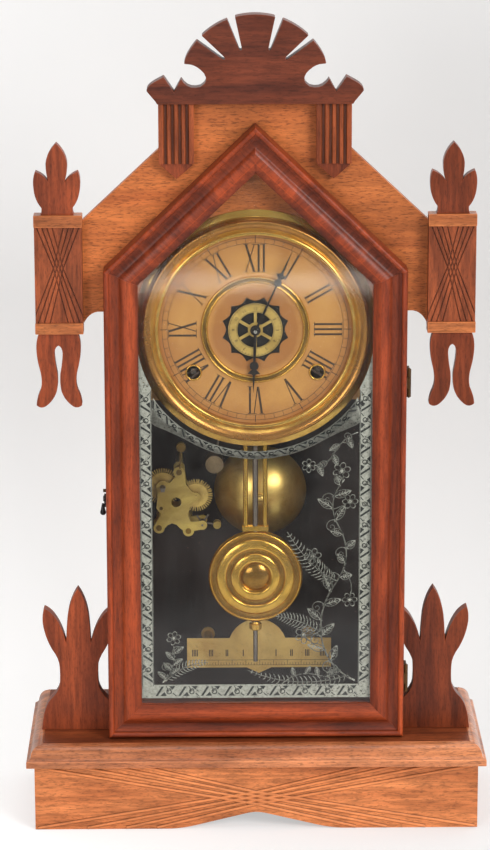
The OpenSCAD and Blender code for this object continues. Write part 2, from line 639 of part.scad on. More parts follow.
module escape_wheel() color("gold") {
  translate([E[0], -2.6, E[1]]) rotate([90, 0, 0]) linear_extrude(1.2) difference() {
    polygon([for (i = [0:31]) each [12 * [cos(i * 11.25), sin(i * 11.25)],
      10.7 * [cos(i * 11.25 + 2.4), sin(i * 11.25 + 2.4)], 10.5 * [cos(i * 11.25 + 9), sin(i * 11.25 + 9)]]]);
    difference() {
      circle(9);
      circle(2.6);
      for (i = [0:3]) rotate(i * 90) translate([0, -0.8]) square([10, 1.6]);
    }
  }
  shaft(E, 1.8, -4.4, -2);
  shaft(E, 0.9 - run, -4.6, 3);
  lantern(E, 7.2, 10, pn, tm, mesh(dir(A3, E), tn, 0, pn));
  shaft(E, 1, 2.2, 33);
  shaft(E, 0.8 - run, 32.8, back_rear + 0.5);
}
module verge() color("silver") {
  ring([0, hang_z], 2.8, -6.4, -1.2, post_r + run);
  board(-4.2, 1.8) difference() {
    both_sides_2d(0) {
      bar([1, hang_z - 1], E + 14 * [sin(48), cos(48)], 1.6);
      translate(E + 14 * [sin(48), cos(48)]) rotate(-48) translate([-0.9, -0.5]) square([1.8, 1.4]);
    }
    translate([0, hang_z]) circle(post_r + 0.6);
  }
  wire([0, -5.8, hang_z - 2.2], [0, -8, 306], 0.6);
  translate([-3.6, -8.6, 305]) cube([7.2, 1.2, 1.4]);
  for (s = [-1, 1]) translate([s * 3.1 - 0.5, -18.6, 305]) cube([1, 10.6, 1.4]);
}
module minute_wheel() color("gold") difference() {
  union() {
    gear(M, -3.4, 1.3, 36, mm1, mesh(dir(C, M), 12, 0, 36), hub = 2.6);
    gear(M, -6.7, 3.4, 10, mm2, 0, spokes = 0);
    shaft(M, 1.55, -6.8, -1.8);
  }
  shaft(M, 1 + run, -9, 1);
}
module hour_wheel() color("gold") difference() {
  union() {
    gear(C, -6.2, 1, 40, mm2, mesh(dir(M, C), 10, 0, 40), hub = 3.4);
    shaft(C, 3, -7.4, -5);
    shaft(C, pipe_out, -31.7, -5);
  }
  shaft(C, pipe_in, -33, -4);
}
module hand_at(front, thick, turn) translate([C[0], 0, C[1]]) rotate([0, turn, 0]) board(front, thick) children();
module hour_hand() color("black") {
  hand_at(-31.5, 0.7, hour_turn) difference() {
    union() {
      circle(3.6);
      polygon([[-1.1, 2], [-0.8, 24], [0.8, 24], [1.1, 2]]);
      translate([0, 25.2]) circle(3.1);
      polygon(half(concat([[0, 45]], [[0.7, 36], [0.9, 32]], bend([0.9, 32], [1.6, 30.6], [4.4, 30.9], 4),
        bend([4.4, 30.9], [2.6, 28.6], [0.8, 27.4], 4), [[0, 27]])));
    }
    circle(pipe_out);
    translate([0, 25.2]) circle(1.5);
  }
}
module minute_hand() color("black") {
  hand_at(-33.5, 0.6, minute_turn) difference() {
    union() {
      circle(3.2);
      polygon([[-0.9, 2], [-0.6, 37], [0.6, 37], [0.9, 2]]);
      translate([0, 37.4]) circle(2.6);
      polygon(half(concat([[0, 63]], [[0.5, 54], [0.8, 45]], bend([0.8, 45], [1.4, 43], [3.9, 43.4], 4),
        bend([3.9, 43.4], [2.2, 41], [0.8, 39.6], 4), [[0, 39]])));
    }
    circle(pipe_in - run);
    translate([0, 37.4]) circle(1.3);
  }
  ring(C, 2.6, -34.5, -33.5, pipe_in - run);
  hand_pin(0.35);
}
module alarm_disc() color("gold") {
  difference() {
    union() {
      board(-29.6, 0.8) translate(C) difference() {
        circle(18.8, $fn = 96);
        difference() {
          circle(12.5);
          circle(5.2);
          for (i = [0:5]) rotate(i * 60 + 30) translate([0, -1]) square([14, 2]);
        }
      }
      shaft(C, 3.8, -30.3, -24);
    }
    shaft(C, pipe_out + run, -40, -10);
  }
}

// pendulum
module pendulum_rod() color("silver") {
  ring([0, hang_z], 2.6, pend_y - 1, pend_y + 1, post_r + run);
  translate([-1.5, pend_y - 0.15, 323]) cube([3, 0.3, hang_z - 323 - 2]);
  translate([-2, pend_y - 1.5, 320]) cube([4, 3, 4.5]);
  translate([0, pend_y, 150]) cylinder(h = 171, r = 2);
  translate([0, pend_y, 111.3]) cylinder(h = 40, r = 1.6);
  for (s = [-1, 1]) translate([s * 6.9, pend_y, 209]) cylinder(h = 84, r = 1.7);
  for (z = [208.6, 291]) translate([-9.2, pend_y - 2.2, z]) cube([18.4, 4.4, 3.6]);
}
module pendulum_bob() color("gold") difference() {
  turned([0, bob_z]) polygon(concat([[0, pend_y - 5]], bend([0, pend_y - 5], [7, pend_y - 5], [10, pend_y - 2.6], 4),
    [[10.7, pend_y - 2.6], [11.5, pend_y - 4.6], [16.8, pend_y - 4], [17.5, pend_y - 2.6]],
    [[20.5, pend_y - 2.6], [21.4, pend_y - 4.2], [27, pend_y - 3.5], [27.7, pend_y - 2.6]],
    [[bob_r - 2.3, pend_y - 2.6], [bob_r - 1.3, pend_y - 3.8], [bob_r, pend_y - 1.4], [bob_r, pend_y + 1]],
    [[bob_r - 1.5, pend_y + 3.4], [26, pend_y + 5], [0, pend_y + 5]]));
  translate([0, pend_y, bob_z - 40]) cylinder(h = 80, r = 1.6);
  translate([0, pend_y, 150]) cylinder(h = 80, r = 2);
}
module rating_nut() color("gold") difference() {
  translate([0, pend_y, bob_z - bob_r - 6.3]) rotate_extrude() polygon([[1.6 + run, 0], [3.6, 0], [4.4, 0.8],
    [4.4, 4.4], [3.2, 5], [2.8, 6], [1.6 + run, 6]]);
  for (a = [0:30:330]) translate([0, pend_y, bob_z - bob_r - 7]) rotate(a) translate([4.7, 0, 0])
    cylinder(h = 6, r = 0.5, $fn = 12);
}

// strike side
module pin_wheel() color("gold") {
  gear(AL, 4.2, 1, 72, pw_m, 0, hub = 3, rim = 4.2);
  for (i = [0:7]) shaft(AL + 17.8 * [cos(i * 45 + 10), sin(i * 45 + 10)], 0.6, 2.3, 4.4, $fn = 12);
  shaft(AL, 2, 2.8, 6);
  lantern(AL, 8.6, 13.4, pn, gm, mesh(dir(GL, AL), gn, 0, pn));
  shaft(AL, 1.2, 2.2, 33);
  shaft(AL, 0.9 - run, -0.5, 2.4);
  shaft(AL, 0.9 - run, 32.8, back_rear + 4);
  gear(AL, back_rear + 0.5, 2.6, 8, 0.45, 0, spokes = 0);
}
module warning_wheel() color("gold") {
  gear(W, 14, 1, 60, 0.5, 0, hub = 2.6);
  lantern(W, 3, 6.4, pn, pw_m, mesh(dir(AL, W), 72, 0, pn));
  shaft(W, 1.8, 13.6, 16);
  arbor(W, 1, 0.8);
}
module fly() color("gold") {
  lantern(F, 13, 16, pn, 0.5, mesh(dir(W, F), 60, 0, pn));
  arbor(F, 0.8, 0.8);
  translate([F[0] - 9.6, 19, F[1] - 0.25]) cube([19.2, 10, 0.5]);
  shaft(F, 1.6, 18.6, 29.4);
}
module count_wheel() color("gold") {
  gear(K, back_rear + 1.2, 1, 78, 0.45, mesh(dir(AL, K), 8, 0, 78), 1 + run, hub = 3);
  ring(K, 2.4, back_rear + 0.4, back_rear + 3.4, 1 + run);
}
module strike_hammer() color("goldenrod") {
  arbor(HA, 1.2, 1);
  shaft(HA, 2.2, 20, 24);
  shaft(HA, 2.2, 2.4, 4.8);
  wire([HA[0], 22, HA[1]], [-28.2, 22, 252], 0.8);
  shaft([-28.7, 248.4], 6.5, 15, 29);
  wire([HA[0], 3.4, HA[1]], [-26.2, 3.4, 330], 0.6);
}
module bell() color("gold") {
  s = (bell_r * bell_r + 484) / 44;
  e = asin(bell_r / s);
  difference() {
    turned([bell_x, bell_z], $fn = 96) polygon(concat(arc([0, 10 + s], s, -90, e - 90, 14),
      arc([0, 10 + s], s - 1.2, e - 90, -90, 14)));
    shaft([bell_x, bell_z], 2.4, 0, 40);
  }
  shaft([bell_x, bell_z], 2.4, 8.4, back_front);
  shaft([bell_x, bell_z], 3.6, 8, 10.6);
  shaft([bell_x, bell_z], 4, 11.2, 14);
  shaft([bell_x, bell_z], 6, back_front - 2.5, back_front);
}
module beat_scale() color("goldenrod") {
  board(12, 0.8) polygon(concat([[-49.1, 96.8], [-6, 96.8], [2.9, 92.5], [11.8, 96.8], [55, 96.8], [55, 119.1],
    [24, 119.1]], arc([1.8, 112.4], 21.2, 18.4, 161.6, 12), [[-20.4, 119.1], [-49.1, 119.1]]));
  for (x = [-34, 40]) {
    shaft([x, 108], 3, 12.6, back_front);
    shaft([x, 108], 5, back_front - 2, back_front);
  }
}

// alarm
lugs = [[-54, 244.2], [-68.5, 203], [-47.5, 200.7]];
module alarm_2d(am, ae, ah) difference() {
  union() {
    polygon([[-50.1, 244], [-49, 235.1], [-45, 230], [-40.4, 228.4], [-40.4, 224], [-44.6, 221.5],
      [-46.3, 217.8], [-47.8, 212.6], [-46, 207.4], [-38, 208], [-36, 202], [-43.6, 200.7],
      [-51.2, 201], [-53.6, 202.8], [-56, 205.4], [-59.4, 206.4], [-62.4, 205], [-64.8, 202.4],
      [-72, 203], [-70, 208.4], [-67.2, 213], [-70.4, 217.6], [-69.5, 225], [-70.4, 233],
      [-65.5, 238], [-60.6, 236.4], [-57.2, 240.4]]);
    for (l = lugs) translate(l) circle(4);
    translate(AM) circle(5);
    translate(AE) circle(3);
    translate(AH) circle(3.4);
  }
  translate(AM) circle(am);
  translate(AE) circle(ae);
  translate(AH) circle(ah);
  translate([-56, 222]) circle(3.6);
  for (l = lugs) translate(l) circle(1.2);
}
module alarm_plates() color("goldenrod") {
  board(alarm_y, 1.2) alarm_2d(2 + run, 0.8, 0.8);
  board(alarm_y + 1.2 + alarm_gap, 1.2) alarm_2d(1.2, 0.8, 0.8);
  for (l = lugs) {
    shaft(l, 1.8, alarm_y + 1.2, alarm_y + 1.2 + alarm_gap);
    shaft(l, 1.2, alarm_y - 0.4, alarm_y + 26);
    shaft(l, 2, alarm_y - 1, alarm_y);
    shaft(l, 2.6, alarm_y + 2.4 + alarm_gap, back_front);
  }
  shaft([-66.9, 217.6], 1.2, alarm_y - 0.6, alarm_y + 0.4);
  wire([-53.4, alarm_y + 0.6, 247], [-52.4, alarm_y + 0.6, 261], 0.8);
  shaft([-52.4, 263], 3.4, alarm_y - 1.6, alarm_y + 2.4);
}
am_n = 46;
ae_n = 40;
am_m = 2 * norm(AE - AM) / (am_n + ae_n);
module alarm_main_wheel() color("gold") gear(AM, alarm_y + 3, 1.2, am_n, am_m, 0, 2 + run, spokes = 0);
module alarm_escape_wheel() color("gold") {
  gear(AE, alarm_y + 3, 1.2, ae_n, am_m, mesh(dir(AM, AE), am_n, 0, ae_n), spokes = 0);
  board(alarm_y + 5.4, 1) translate(AE) difference() {
    polygon([for (i = [0:21]) let (a = i * 360 / 22) each [11.9 * [cos(a), sin(a)],
      9 * [cos(a + 3), sin(a + 3)], 8.8 * [cos(a + 12), sin(a + 12)]]]);
    difference() {
      circle(7.4);
      circle(2.4);
      for (i = [0:3]) rotate(i * 90 + 20) translate([0, -0.8]) square([9, 1.6]);
    }
  }
  shaft(AE, 1.6, alarm_y + 2.6, alarm_y + 8);
  shaft(AE, 1, alarm_y + 1.7, alarm_y + 0.7 + alarm_gap);
  shaft(AE, 0.8 - run, alarm_y - 0.4, alarm_y + 2.8 + alarm_gap);
}
module alarm_hammer() color("gold") {
  shaft(AH, 1, alarm_y + 1.7, alarm_y + 0.7 + alarm_gap);
  shaft(AH, 0.8 - run, alarm_y - 0.4, alarm_y + 2.8 + alarm_gap);
  shaft(AH, 2.6, alarm_y + 4.6, alarm_y + 8);
  board(alarm_y + 5.4, 1) {
    bar(AH, AH + [-4, 5.6], 1.2);
    bar(AH, AH + [4.4, 6.4], 1.2);
  }
  wire([AH[0], alarm_y + 7, AH[1]], [-29, alarm_y + 7, 203.9], 0.7);
  shaft([-27, 203.7], 2.8, alarm_y + 4, alarm_y + 10);
}
module alarm_winding_arbor() color("silver") {
  shaft(AM, 2, alarm_y - 2, alarm_y + 0.7 + alarm_gap);
  shaft(AM, 1.2 - run, alarm_y + 0.5 + alarm_gap, alarm_y + 2.8 + alarm_gap);
  translate([AM[0] - 1.4, alarm_y - 7, AM[1] - 1.4]) cube([2.8, 5.4, 2.8]);
  shaft(AM, 3, alarm_y + 4.6, alarm_y + 13);
}

base_front();
base_sides();
platform_board();
platform_mouldings();
glue_blocks();
case_sides();
case_top();
backboard();
fascia_board();
capital_blocks();
capital_caps();
finials();
pendants();
corbels();
pediment();
side_crests();
door_stiles();
door_bottom_rail();
door_rafters();
door_glass();
glazing_strips();
door_latch();
door_hinge_leaves();
case_hinge_leaves();
dial_plate();
dial_bezel();
dial_trim();
movement_front_plate();
movement_back_plate();
movement_pillars();
mainsprings();
time_great_wheel();
time_second_wheel();
centre_arbor();
time_third_wheel();
escape_wheel();
verge();
time_winding_arbor();
strike_winding_arbor();
minute_wheel();
hour_wheel();
hour_hand();
minute_hand();
alarm_disc();
pendulum_rod();
pendulum_bob();
rating_nut();
strike_great_wheel();
pin_wheel();
warning_wheel();
fly();
count_wheel();
strike_hammer();
bell();
beat_scale();
alarm_plates();
alarm_main_wheel();
alarm_escape_wheel();
alarm_hammer();
alarm_winding_arbor();
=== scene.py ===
"""Dresses the kitchen clock: oiled and coated walnut, brass, aged dial paper, printed glass."""

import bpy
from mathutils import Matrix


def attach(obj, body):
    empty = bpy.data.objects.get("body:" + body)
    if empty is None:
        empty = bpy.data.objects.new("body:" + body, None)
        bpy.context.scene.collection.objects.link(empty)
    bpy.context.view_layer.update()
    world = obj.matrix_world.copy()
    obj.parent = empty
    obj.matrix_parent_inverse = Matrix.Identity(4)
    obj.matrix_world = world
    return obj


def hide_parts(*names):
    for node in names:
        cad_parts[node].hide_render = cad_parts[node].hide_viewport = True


bl_info = {
    "name": "Kitchen Clock",
    "version": (1, 0, 0),
    "blender": (4, 5, 0),
    "location": "3D View > Sidebar > Clock",
    "description": "Builds the case, dial, tablet and works of a walnut shelf clock",
    "category": "Add Mesh",
}

from math import atan2, cos, hypot, pi, radians, sin

import bmesh
import bpy
from bpy.props import FloatProperty, FloatVectorProperty, IntProperty, PointerProperty
from bpy.types import Operator, Panel, PropertyGroup
from mathutils import Matrix, Vector

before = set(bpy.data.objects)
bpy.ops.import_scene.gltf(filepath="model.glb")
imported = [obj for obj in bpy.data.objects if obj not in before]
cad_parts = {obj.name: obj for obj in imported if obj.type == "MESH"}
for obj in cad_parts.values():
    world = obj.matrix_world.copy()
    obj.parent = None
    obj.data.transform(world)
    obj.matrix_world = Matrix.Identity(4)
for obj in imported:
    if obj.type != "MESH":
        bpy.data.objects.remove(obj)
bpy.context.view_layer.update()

# a millimetre in metres, and the angle from which an edge of the wood or metal is eased
MM = 0.001
SHARP = radians(33)

# the photograph's camera, in metres, degrees and millimetres of film
CAMERA_AT = (-0.0289, -2.2, 0.862)
CAMERA_PITCH, CAMERA_ROLL, CAMERA_PAN = 75.22, -0.12, -0.57
LENS, FILM_HIGH = 136.5, 36.0
LAMPS_AIM = (0, 0, 0.28)

# places (x, z), planes (y) and radii of the solids and their print, in millimetres
DIAL = (0.0, 357.2)
PAPER = -28.0
TRACK_IN, TRACK_OUT = 61.0, 64.6
BRONZE_FROM = 72.4
# front and back planes of a black disc behind the dial's star cut, a painted shadow over the
# movement
SHADOW_DISC_FRONT, SHADOW_DISC_BACK = -27.15, -26.6
ALARM_DISC_FACE = -29.59
GROMMET_OUT, GROMMET_HIGH = 42.9, 326.8
GLASS_BACK = -38.0
SHOULDER, APEX, DOOR_HALF = 401.5, 501.5, 104.3
ROOF = atan2(APEX - SHOULDER, DOOR_HALF)
SKIRT_HALF, SKIRT_FACE, SKIRT_HIGH = 157.0, -57.5, 51.0
SKIRT_THICK = 9
BOB, BOB_PLANE = (0, 175), -16.0
BOB_DOMES = ((0, 10.5), (17.5, 20.5), (27.6, 31.2))
BELL = (4.1, 224.6)
STRIKE_HEAD, ALARM_HEAD = (-28.7, 248.4), (-27, 203.7)
SCALE_FRONT, SCALE_BACK = 11.94, 12.01
TALLY_LOW, TALLY_HIGH = 105.4, 110.4
RULER_LEFT, RULER_RIGHT, RULER_LOW, RULER_HIGH, RULER_LINE = -47.2, 53.4, 98.6, 102.4, 0.25
ALARM_WHEEL_BACK = 14.6
MINUTE_ANGLE = radians(24.42)
HOUR_ANGLE = radians(182.035)

# carving painted darker towards its bottom, as painted shade with some grime: the front plane and
# the depth of the darkening
DOOR_HOLLOW, CAPITAL_HOLLOW, CORBEL_HOLLOW = (-44.4, 5.2), (-35.95, 1.25), (-32.9, 1.1)

# three planes of print behind the glass: dark cuts lie before the silver leaf
PRINT_NEAR, PRINT_MID, PRINT_FAR = GLASS_BACK + 0.04, GLASS_BACK + 0.09, GLASS_BACK + 0.14


# ---------------------------------------------------------------- mesh tools

def finish_piece(name, bm, body, finish, smooth=34, scale=True, weighted=False):
    """Turns a closed bmesh into a piece that rides on a body.

    scale brings a bmesh that was made in millimetres to metres."""
    bmesh.ops.remove_doubles(bm, verts=bm.verts, dist=0.0005 if scale else 5e-7)
    if scale:
        bmesh.ops.scale(bm, vec=(MM, MM, MM), verts=bm.verts)
    bmesh.ops.recalc_face_normals(bm, faces=bm.faces)
    for face in bm.faces:
        face.smooth = True
    for edge in bm.edges:
        edge.smooth = edge.calc_face_angle(0.0) < radians(smooth)
    mesh = bpy.data.meshes.new(name)
    bm.to_mesh(mesh)
    bm.free()
    mesh.materials.append(finish)
    piece = bpy.data.objects.new(name, mesh)
    bpy.context.scene.collection.objects.link(piece)
    if weighted:
        even = piece.modifiers.new("even_normals", "WEIGHTED_NORMAL")
        even.keep_sharp = True
        even.weight = 90
    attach(piece, body)
    return piece


def soften(node, body, finish, width, smooth=38, hollow=None):
    """Stands a copy of a node, with its hard edges eased, in for the node.

    hollow is (front, depth): faces behind front darken over that depth, as painted shade with some
    grime in the carving."""
    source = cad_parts[node]
    bm = bmesh.new()
    bm.from_mesh(source.data)
    bmesh.ops.remove_doubles(bm, verts=bm.verts, dist=2e-6)
    bmesh.ops.dissolve_limit(bm, angle_limit=radians(0.6), verts=bm.verts, edges=bm.edges)
    bmesh.ops.recalc_face_normals(bm, faces=bm.faces)
    worn = bm.loops.layers.float.new("worn")
    sharp = [e for e in bm.edges if e.is_manifold and e.is_convex
             and e.calc_face_angle(0.0) > SHARP]
    if sharp and width:
        eased = bmesh.ops.bevel(bm, geom=sharp, offset=width * MM, offset_type="OFFSET",
                                affect="EDGES", segments=2, profile=0.5, material=-1,
                                clamp_overlap=True)
        for face in eased["faces"]:
            for loop in face.loops:
                loop[worn] = 1.0
    if hollow:
        front, depth = hollow
        # painted shade with some grime: hollow faces get a deep value that darkens them in the
        # walnut shader
        deep = bm.loops.layers.float.new("deep")
        for face in bm.faces:
            reach = [1000 * v.co.y for v in face.verts]
            if face.normal.y < 0.5 and max(reach) - min(reach) < 9:
                for loop in face.loops:
                    far = (1000 * loop.vert.co.y - front) / depth
                    loop[deep] = 0 if far > 1.4 else min(max(far, 0), 1)
    piece = finish_piece(node + "_finished", bm, body, finish, smooth, False, True)
    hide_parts(node)
    return piece


def second_finish(piece, finish, chosen):
    """Gives a second finish to the faces whose middle, in millimetres, is chosen."""
    piece.data.materials.append(finish)
    for face in piece.data.polygons:
        if chosen(*(1000 * v for v in face.center)):
            face.material_index = 1


def dress(finish, *nodes):
    """Gives CAD nodes that keep their shape a real finish."""
    for name in nodes:
        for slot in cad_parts[name].material_slots:
            slot.material = finish


def draw_out(bm, ring, vec):
    """Fills a ring of vertices and extrudes it by a vector; gives the vertices that moved."""
    moved = bmesh.ops.extrude_face_region(bm, geom=[bm.faces.new(ring)])
    verts = [v for v in moved["geom"] if isinstance(v, bmesh.types.BMVert)]
    bmesh.ops.translate(bm, vec=vec, verts=verts)
    return verts


def plate(bm, outline, front, back):
    """Extrudes an outline of (x, z) points from the plane y=front to y=back."""
    return draw_out(bm, [bm.verts.new((x, front, z)) for x, z in outline], (0, back - front, 0))


def strip(bm, path, width, front, back):
    """A flat ribbon of even or tapering width along a path of (x, z) points."""
    wide = width if isinstance(width, (list, tuple)) else [width] * len(path)
    left, right = [], []
    for i, (x, z) in enumerate(path):
        a, b = path[max(i - 1, 0)], path[min(i + 1, len(path) - 1)]
        long = hypot(b[0] - a[0], b[1] - a[1]) or 1.0
        nx, nz = -(b[1] - a[1]) / long, (b[0] - a[0]) / long
        left.append((x + nx * wide[i] / 2, z + nz * wide[i] / 2))
        right.append((x - nx * wide[i] / 2, z - nz * wide[i] / 2))
    for i in range(len(path) - 1):
        plate(bm, [left[i], left[i + 1], right[i + 1], right[i]], front, back)


def turn(bm, profile, centre, steps=96, closed=False):
    """Spins a profile of (radius, y) points about the front-to-back axis through centre."""
    verts = [bm.verts.new((centre[0] + r, y, centre[1])) for r, y in profile]
    edges = [bm.edges.new(pair) for pair in zip(verts, verts[1:])]
    if closed:
        edges.append(bm.edges.new((verts[-1], verts[0])))
    bmesh.ops.spin(bm, geom=verts + edges, cent=(centre[0], 0, centre[1]), axis=(0, 1, 0),
                   dvec=(0, 0, 0), angle=2 * pi, steps=steps, use_merge=True,
                   use_duplicate=False)


def washer(bm, centre, inner, outer, front, back, steps=128):
    """A flat ring."""
    turn(bm, [(inner, front), (outer, front), (outer, back), (inner, back)], centre, steps, True)


def bow(p, q, r, n=6):
    """Points of a curve from p to r pulled towards q."""
    out = []
    for i in range(n + 1):
        t = i / n
        out.append(((1 - t) ** 2 * p[0] + 2 * t * (1 - t) * q[0] + t * t * r[0],
                    (1 - t) ** 2 * p[1] + 2 * t * (1 - t) * q[1] + t * t * r[1]))
    return out


# ---------------------------------------------------------------- material tools

def join(tree, socket, value):
    """Links a source to a socket, or sets the socket's own value."""
    if isinstance(value, bpy.types.NodeSocket):
        tree.links.new(value, socket)
    else:
        socket.default_value = value


def add(tree, kind, inputs=None, **settings):
    """Adds a shader node, sets it and joins its inputs."""
    made = tree.nodes.new("ShaderNode" + kind)
    for key, value in settings.items():
        setattr(made, key, value)
    for key, value in (inputs or {}).items():
        join(tree, made.inputs[key], value)
    return made


def srgb(r, g, b):
    """A linear colour from 0 to 255 display values."""
    out = []
    for value in (r, g, b):
        v = value / 255
        out.append(v / 12.92 if v <= 0.04045 else ((v + 0.055) / 1.055) ** 2.4)
    return (*out, 1.0)


def shade(colour, k=1.0):
    """A colour made k times as light."""
    return (colour[0] * k, colour[1] * k, colour[2] * k, 1.0)


def blank(name, **constants):
    """A new material with a principled shader, its even settings made on the sockets."""
    material = bpy.data.materials.new(name)
    material.use_nodes = True
    tree = material.node_tree
    shader = tree.nodes["Principled BSDF"]
    for key, value in constants.items():
        shader.inputs[key.replace("_", " ")].default_value = value
    return material, tree, shader


def emptied(holder):
    """The node tree of a new material or world, with nothing in it."""
    holder.use_nodes = True
    holder.node_tree.nodes.clear()
    return holder.node_tree


def show(tree, shader, kind="Material"):
    """Links the last shader of an emptied tree to a new output."""
    tree.links.new(shader, add(tree, "Output" + kind).inputs["Surface"])


def either(tree, fac, first, second):
    """Mixes two shaders."""
    return add(tree, "MixShader", {0: fac, 1: first, 2: second}).outputs[0]


def here(tree):
    """The place on the object, in metres."""
    return add(tree, "TexCoord").outputs["Object"]


def split(tree, place):
    """The X, Y and Z of a place."""
    parts = add(tree, "SeparateXYZ", {"Vector": place}).outputs
    return parts["X"], parts["Y"], parts["Z"]


def mapped(tree, place, **how):
    """A place moved, turned or stretched."""
    return add(tree, "Mapping", {"Vector": place, **how}).outputs["Vector"]


def away_from(tree, place, centre):
    """Distance, in metres, from the front-to-back axis through a centre in millimetres."""
    x, _, z = split(tree, mapped(tree, place,
                                 Location=(-centre[0] * MM, 0, -centre[1] * MM)))
    return maths(tree, "SQRT", maths(tree, "ADD", maths(tree, "MULTIPLY", x, x),
                                     maths(tree, "MULTIPLY", z, z)))


def noise(tree, place, scale, detail, rough=0.5, distortion=0.0):
    """Clouds at a place, finer as the scale grows."""
    return add(tree, "TexNoise", {"Vector": place, "Scale": scale, "Detail": detail,
                                  "Roughness": rough, "Distortion": distortion}).outputs["Fac"]


def span(tree, value, start, end, low, high):
    """Maps a value from start..end to low..high, held at both ends."""
    return add(tree, "MapRange", {"Value": value, "From Min": start, "From Max": end,
                                  "To Min": low, "To Max": high}).outputs["Result"]


def attribute(tree, name):
    """A value that the mesh carries."""
    return add(tree, "Attribute", attribute_name=name).outputs["Fac"]


def relief(tree, height, strength, distance):
    """A normal that follows a height."""
    return add(tree, "Bump", {"Height": height, "Strength": strength,
                              "Distance": distance}).outputs["Normal"]


def ramp(tree, fac, low, high):
    """A grey that runs between two stops of (position, level)."""
    made = add(tree, "ValToRGB", {"Fac": fac})
    for element, (place, level) in zip(made.color_ramp.elements, (low, high)):
        element.position = place
        element.color = (level, level, level, 1.0)
    return made.outputs["Color"]


def mixed(tree, a, b, fac, kind="MIX"):
    """Mixes two colours."""
    made = add(tree, "Mix", data_type="RGBA", blend_type=kind)
    for index, value in ((0, fac), (6, a), (7, b)):
        join(tree, made.inputs[index], value)
    return made.outputs[2]


def times(tree, tone, grey, fac=1.0):
    """Darkens or lightens a colour by a grey."""
    return mixed(tree, tone, grey, fac, "MULTIPLY")


def maths(tree, operation, a, b=0.0):
    """One operation on one or two values."""
    return add(tree, "Math", {0: a, 1: b}, operation=operation).outputs[0]


def feed(tree, shader, **sources):
    """Links sources to a shader; an underscore stands for a space."""
    for key, source in sources.items():
        tree.links.new(source, shader.inputs[key.replace("_", " ")])


def walnut(name, light, dark, grain="Z", fleck=0.3, rough=0.44, figure=0.8, coat=0.15,
           mirror=False, seed=0.0, streak=0.35, fade=0.0):
    """Coated walnut: broad figure, drawn-out streaks, short dark pores, paler worn edges.

    grain is the axis that it runs along, or its slope as an angle. mirror gives both halves
    the same grain, and the painted side light makes the wood paler at the left than at the right,
    as painted light and shade."""
    material, tree, shader = blank(name, Coat_Weight=coat, Coat_Roughness=0.28,
                                   Specular_IOR_Level=0.24)
    place = here(tree)
    if mirror:
        x, y, z = split(tree, place)
        place = add(tree, "CombineXYZ", {"X": maths(tree, "ABSOLUTE", x), "Y": y,
                                         "Z": z}).outputs["Vector"]
    sloped = not isinstance(grain, str)
    long = {"X": (0.1, 1, 1), "Y": (1, 0.1, 1), "Z": (1, 1, 0.1)}["X" if sloped else grain]
    straight = mapped(tree, place, Rotation=(0, -grain if sloped else 0, 0),
                      Location=(seed, seed * 0.7, seed * 1.3))
    drawn = mapped(tree, straight, Scale=long)
    broad = noise(tree, drawn, 62.0 * figure, 3.0, 0.5, 0.9)
    lines = noise(tree, drawn, 430.0, 4.0, 0.62)
    halfway = mapped(tree, straight, Scale=tuple(0.22 if v < 1 else 1 for v in long))
    pores = noise(tree, halfway, 1150.0, 2.0, 0.6)
    pits = ramp(tree, pores, (0.33, 1 - fleck), (0.49, 1.0))
    patina = noise(tree, place, 17.0, 2.0)
    tone = mixed(tree, shade(dark), shade(light), ramp(tree, broad, (0.32, 0), (0.68, 1)))
    tone = times(tree, tone, ramp(tree, lines, (0.36, 1 - streak), (0.6, 1.06)))
    tone = times(tree, tone, pits)
    tone = times(tree, tone, ramp(tree, patina, (0.3, 0.82), (0.7, 1.1)))
    # painted light and shade: the colour is lit paler at the left and shaded darker at the right
    if fade:
        level = span(tree, split(tree, place)[0], -0.16, 0.16, 0.5 + 0.5 * fade, 0.5 - 0.5 * fade)
        tone = times(tree, tone, ramp(tree, level, (0, 0.5), (1, 1.5)))
    rubbed = maths(tree, "MULTIPLY", attribute(tree, "worn"), maths(tree, "MULTIPLY", broad, 0.55))
    tone = mixed(tree, tone, shade(light, 1.35), rubbed)
    # painted shade with some grime: faces deep in the carving darken to about a quarter
    tone = times(tree, tone, ramp(tree, attribute(tree, "deep"), (0, 1), (1, 0.26)))
    height = maths(tree, "ADD", maths(tree, "MULTIPLY", lines, 0.35), pits)
    feed(tree, shader, Base_Color=tone, Normal=relief(tree, height, 0.35, 0.00018),
         Roughness=span(tree, patina, 0.3, 0.7, rough - 0.07, rough + 0.09))
    return material


def brass(name, bright, dull, rough=0.34, stain=0.8, grain=0.2, centre=None, scale=40.0,
          metal=0.8):
    """Old brass: clear metal under brown tarnish, with fine scratches.

    The scratches run round a centre, where one is given, and else along Z."""
    material, tree, shader = blank(name, Metallic=metal)
    place = here(tree)
    cloud = noise(tree, place, scale, 6.0, 0.62, 0.6)
    specks = noise(tree, place, 700.0, 3.0, 0.7)
    if centre:
        along = add(tree, "CombineXYZ", {"X": away_from(tree, place, centre)}).outputs["Vector"]
    else:
        along = mapped(tree, place, Scale=(1, 1, 0.05))
    tone = mixed(tree, shade(bright), shade(dull), ramp(tree, cloud, (0.38, 0), (0.66, stain)))
    tone = times(tree, tone, ramp(tree, specks, (0.3, 0.6), (0.4, 1)), 0.7)
    feed(tree, shader, Base_Color=tone,
         Roughness=maths(tree, "ADD", maths(tree, "MULTIPLY", cloud, 0.22), rough - 0.1),
         Normal=relief(tree, noise(tree, along, 2600.0, 2.0), grain, 0.00008))
    return material


RUST = (0.09, 0.045, 0.022, 1)


